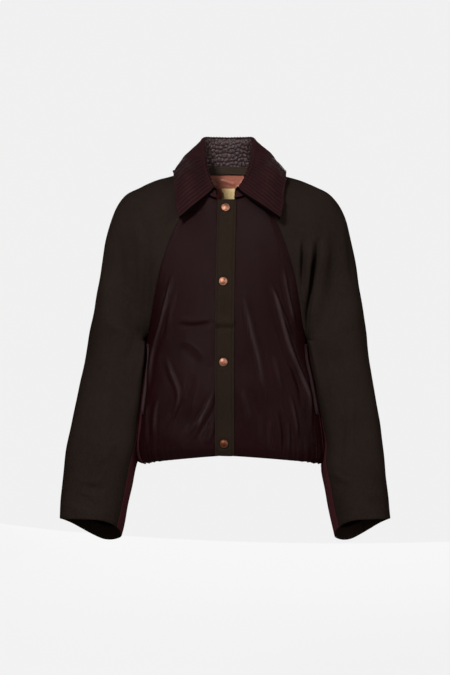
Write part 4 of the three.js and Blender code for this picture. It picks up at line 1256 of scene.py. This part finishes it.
SNAP_SIDES = 56
SNAP_LIFT = 0.5  # how far the cap stands off the placket
SNAP_METALS = [COPPER, COPPER, COPPER, DARK_COPPER]  # the lowest is the most tarnished
SNAP_PROFILE = [
    (SNAP_RADIUS - 1.1, 0.0),
    (SNAP_RADIUS - 0.3, 0.1),
    (SNAP_RADIUS, 0.55),
    (SNAP_RADIUS - 0.15, 1.0),
    (SNAP_RADIUS - 0.6, 1.3),
    (SNAP_RADIUS - 1.05, 1.3),
    (SNAP_RADIUS - 1.35, 1.2),
    (SNAP_RADIUS - 1.8, 1.5),
    (SNAP_RADIUS * 0.62, SNAP_RISE * 0.76),
    (SNAP_RADIUS * 0.42, SNAP_RISE * 0.9),
    (SNAP_RADIUS * 0.22, SNAP_RISE * 0.98),
    (SNAP_RADIUS * 0.05, SNAP_RISE),
]


def add_snaps():
    middle = placket.grid[:, PLACKET_GRID[1] // 2, 2]
    for index, height in enumerate(SNAP_HEIGHTS):
        level = np.argmin(np.abs(middle - height)) / (len(middle) - 1)
        seat, normal = placket.at(level, 0.5 + SNAP_SWAY[index] / PLACKET_WIDTH)
        centre = seat + normal * (CLOTH / 2 + SEAM_GAP + SNAP_LIFT)
        points, faces = lathe(SNAP_PROFILE, centre, normal, SNAP_SIDES)
        piece = new_mesh(f"snap_{index + 1}", points, faces, [SNAP_METALS[index]])
        finish_piece(piece, f"snap_cap_{index + 1}")


add_snaps()


# ---- Pocket welts ----
WELT_GRID = (90, 16)
WELT_SWELL = 1.5  # how far it stands up along its middle
WELT_EDGE = 0.985  # how near the side seam it comes, as a share of the front's width
WELT_WEAR_AND_SHEEN = {"right": 0.75, "left": 0.4}  # how far its crown is painted pale: painted highlight, with some rubbing of the coating


def add_pocket_welt(side, sign):
    rows = mix(POCKET_BOTTOM_ROW, POCKET_TOP_ROW, levels(WELT_GRID[0]))
    across = shares(WELT_GRID[1])
    share = mix(1 - POCKET_SHARE, WELT_EDGE, across)
    angle, z = front_place(sign, rows, share)
    surface = body_surface(angle, z, seam_freedom(rows, 1 - share))
    crown = np.sin(np.pi * across)
    grid = surface + body_outward(angle, z) * (LAYER + crown * WELT_SWELL)[..., None]
    grid = grid if sign > 0 else grid[:, ::-1]
    piece = sheet(f"pocket_welt_{side}_cloth", grid, [AUBERGINE, AUBERGINE], f"pocket_welt_{side}")
    # painted highlight along the welt's crown
    store_values(piece, WEAR_AND_SHEEN, WELT_WEAR_AND_SHEEN[side] * (crown + 0 * z))
    return Sampler(grid)


welts = {"right": add_pocket_welt("right", -1), "left": add_pocket_welt("left", 1)}


# ---- Inside the back of the neck ----
LINING_GRID, TAPE_GRID, LABEL_GRID = (60, 80), (14, 120), (26, 28)
THIN, TAPE_THICKNESS = 0.6, 0.8  # how thick the satin and the label, and the tape, are drawn
LINING_FOLDS = [
    (4, 3.4, 0.2, (-44, 16), (-16, -2), (-4, -40)),
    (4, 3.6, -0.2, (40, 20), (20, 2), (16, -50)),
    (3, 2.6, 0, (-24, 22), (2, 10), (28, 16)),
    (3.4, 2.8, 0.3, (-30, 4), (-8, 14), (12, 6), (30, -4)),
    (3.6, 2.4, 0, (-18, -12), (6, -6), (24, -22)),
]


def add_lining():
    rising = slice(UNDERARM - 2, None, -1)  # the back seam from below the shoulder to the neck
    share = shares(LINING_GRID[1])
    z = mix(LINING_BOTTOM, NECK_BACK - 4, levels(LINING_GRID[0])) + 0 * share
    widest = smooth_at(RAGLAN["back_z"][rising], RAGLAN["back"][rising], z) * DEGREE + 4 * DEGREE
    angle = mix(widest, 2 * np.pi - widest, mix(0.02, 0.98, share))
    point = body_point(angle, z)
    folds = crease_rise(point[..., 0], z, LINING_FOLDS)
    depth = LAYER + 2 * SEAM_GAP + 0.3 + np.abs(folds) * 0.5 + 0.2 * np.abs(rumple(point))
    grid = point - body_outward(angle, z) * depth[..., None]
    sheet("back_neck_lining_cloth", grid, [SATIN, SATIN], "back_neck_lining",
          THIN)


def add_neck_tape():
    climbs = np.linspace(-TAPE_WIDTH / 2, TAPE_WIDTH / 2, TAPE_GRID[0])[:, None]
    columns = []
    for place in np.linspace(TAPE_SHARE, -TAPE_SHARE, TAPE_GRID[1]):
        neck, stand = collar_controls(1 if place >= 0 else -1, abs(place))[:2]
        columns.append(neck + climbs * np.where(climbs > 0, unit(stand - neck), [0, 0, 1]))
    grid = np.stack(columns, axis=1)
    inward = unit(grid * [-1, -1, 0])
    from_middle = np.abs(np.linspace(-1, 1, TAPE_GRID[0]))[:, None]
    swell = 0.7 * (1 - from_middle**4) - 0.5 * bell(from_middle - 0.5, 0.13)
    grid = grid + inward * (2 * LAYER + swell)[..., None]
    sheet("neck_tape_cloth", grid, [TAPE, TAPE], "neck_tape",
          TAPE_THICKNESS)
    return Sampler(grid)


def add_label():
    share = shares(LABEL_GRID[1])
    z = mix(LABEL_BOTTOM, LABEL_TOP, levels(LABEL_GRID[0])) + 0 * share
    x = mix(LABEL_WIDTH / 2, -LABEL_WIDTH / 2, share) + 0 * z
    angle = np.pi - np.abs(front_angle(np.abs(x), z)) * np.sign(x)
    grid = body_point(angle, z) - [0, 2 * LAYER + 2 * SEAM_GAP, 0]
    sheet("label_cloth", grid, [GOLD_WEAVE, GOLD_WEAVE], "label",
          THIN)


add_lining()
tape = add_neck_tape()
add_label()


# ---- Stitching ----
STITCH_LIFT = CLOTH / 2 - 0.02  # a cloth's face, from its middle surface
HEM_ROWS = (0.036, 0.045)  # the hem's two lines of stitching, as shares of a panel's height
CUFF_ROW = 0.974  # the cuff's line of stitching, likewise
EDGE = 3.2 / PLACKET_WIDTH  # how far in the placket's edges are sewn
BARTACK_ROWS = 0.0045 * np.arange(-4, 5)  # the close lines that make a bar at a pocket's ends


def seam_line(sampler, rows, columns, lift=STITCH_LIFT, count=240):
    """A line on a piece from one (row, column) share to another, lift above its middle."""
    points, normals = sampler.at(np.linspace(*rows, count), np.linspace(*columns, count))
    return points + normals * lift, normals


def row_line(sampler, row, start, end, lift=STITCH_LIFT, count=240):
    return seam_line(sampler, (row, row), (start, end), lift, count)


def column_line(sampler, column, start, end, lift=STITCH_LIFT, count=240):
    return seam_line(sampler, (start, end), (column, column), lift, count)


def stitch_placket():
    columns = (EDGE, 1 - EDGE, 2 * EDGE)
    lines = [column_line(placket, column, 0.004, 0.996, count=500) for column in columns]
    lines.append(row_line(placket, 0.992, EDGE, 1 - EDGE, count=60))
    stitches("placket_stitches", lines, OLIVE_THREAD)


def stitch_hems():
    lines = [row_line(front, row, 0.02, 0.98) for front in fronts.values() for row in HEM_ROWS]
    stitches("hem_stitches", lines, AUBERGINE_THREAD)
    lines = [row_line(back, row, 0.01, 0.99, count=400) for row in HEM_ROWS]
    stitches("back_hem_stitches", lines, AUBERGINE_THREAD)
    lines = [row_line(panel, CUFF_ROW, 0.01, 0.99) for pair in sleeves.values() for panel in pair]
    stitches("cuff_stitches", lines, OLIVE_THREAD)


def stitch_collar():
    lift = -STITCH_LIFT - 0.1
    lines = [column_line(collar, 0.95, 0.012, 0.988, lift, 700)]
    lines += [row_line(collar, row, 0.2, 0.95, lift, 90) for row in (0.012, 0.988)]
    lines = [(points, -normals) for points, normals in lines]
    stitches("collar_stitches", lines, COLLAR_THREAD)
    lines = [row_line(tape, row, 0.01, 0.99, 0.42, 200) for row in (0.24, 0.76)]
    stitches("tape_stitches", lines, OLIVE_THREAD, length=2.2)


def stitch_pockets():
    lines = []
    for welt in welts.values():
        lines += [column_line(welt, share, 0.02, 0.98) for share in (0.16, 0.84)]
        for end in (0.03, 0.97):
            lines += [
                row_line(welt, end + step, 0.1, 0.9, STITCH_LIFT + 0.1, 20) for step in BARTACK_ROWS
            ]
    stitches("pocket_stitches", lines, AUBERGINE_THREAD)


stitch_placket()
stitch_hems()
stitch_collar()
stitch_pockets()


# ---- Studio ----
CAMERA_DISTANCE, CAMERA_HEIGHT = 3200, -285
VIEW_WIDTH = 841.5  # what the picture's width takes in at the middle of the jacket
PICTURE_WIDTH, PICTURE_HEIGHT = 450, 675
SENSOR = 36.0
FLOOR_HEIGHT = -1150
WORLD_STRENGTH, PAPER_GLOW = 0.35, 0.85  # how bright the world and the pale paper are


def add_camera():
    data = bpy.data.cameras.new("camera")
    data.sensor_width = SENSOR
    data.lens = SENSOR * CAMERA_DISTANCE / (VIEW_WIDTH * PICTURE_HEIGHT / PICTURE_WIDTH)
    camera = bpy.data.objects.new("camera", data)
    camera.location = np.array([PLACKET_MIDDLE, -CAMERA_DISTANCE, CAMERA_HEIGHT]) * MM
    camera.rotation_euler = (np.pi / 2, 0, 0)
    bpy.context.scene.collection.objects.link(camera)
    bpy.context.scene.camera = camera


def add_backdrop():
    """A pale floor that sweeps up into a wall on every side that a view can face."""
    radius, curve, top, sides, steps = 5200.0, 2600.0, 7800.0, 96, 20
    turns = np.linspace(0, 2 * np.pi, sides, endpoint=False)
    profile = [(10.0, 0.0), (radius - curve, 0.0)]
    for bend in np.arange(1, steps + 1) / steps * np.pi / 2:
        profile.append((radius - curve + curve * np.sin(bend), curve * (1 - np.cos(bend))))
    profile.append((radius, top))
    radii, heights = np.array(profile).T
    points = np.stack([
        radii[:, None] * np.cos(turns), radii[:, None] * np.sin(turns),
        FLOOR_HEIGHT + heights[:, None] + 0 * turns,
    ], axis=-1)
    faces = ring_faces(len(profile), sides)
    faces.append(list(reversed(range(sides))))
    shader = Shader("studio_paper")
    shader.set(Base_Color=(0.02, 0.02, 0.02, 1.0), Roughness=1.0)
    shader.set(Emission_Color=(1, 1, 1, 1), Emission_Strength=PAPER_GLOW, Specular_IOR_Level=0.0)
    new_mesh("backdrop", points.reshape(-1, 3), faces, [shader.material])


def add_light(name, place, aim, size, watts):
    """A rectangular light, placed and aimed in metres."""
    data = bpy.data.lights.new(name, "AREA")
    data.shape = "RECTANGLE"
    data.size, data.size_y = size
    data.energy = watts
    light = bpy.data.objects.new(name, data)
    light.location = place
    x, y, z = unit(np.subtract(aim, place))
    light.rotation_euler = (np.arccos(-z), 0, np.arctan2(-x, y))
    bpy.context.scene.collection.objects.link(light)


def add_studio():
    scene = bpy.context.scene
    scene.view_settings.view_transform = "Standard"
    world = bpy.data.worlds.new("studio")
    world.use_nodes = True
    light = world.node_tree.nodes["Background"].inputs
    light["Color"].default_value = (1, 1, 1, 1)
    light["Strength"].default_value = WORLD_STRENGTH
    scene.world = world
    middle = (0.0, 0.0, -0.28)
    add_light("key", (-0.9, -2.0, 1.1), (0.0, 0.0, -0.2), (0.6, 0.6), 165)
    add_light("fill", (2.3, -2.2, 0.5), middle, (1.2, 1.8), 110)
    add_light("behind", (0.3, 3.2, -0.1), middle, (2.4, 2.0), 110)


add_camera()
add_backdrop()
add_studio()
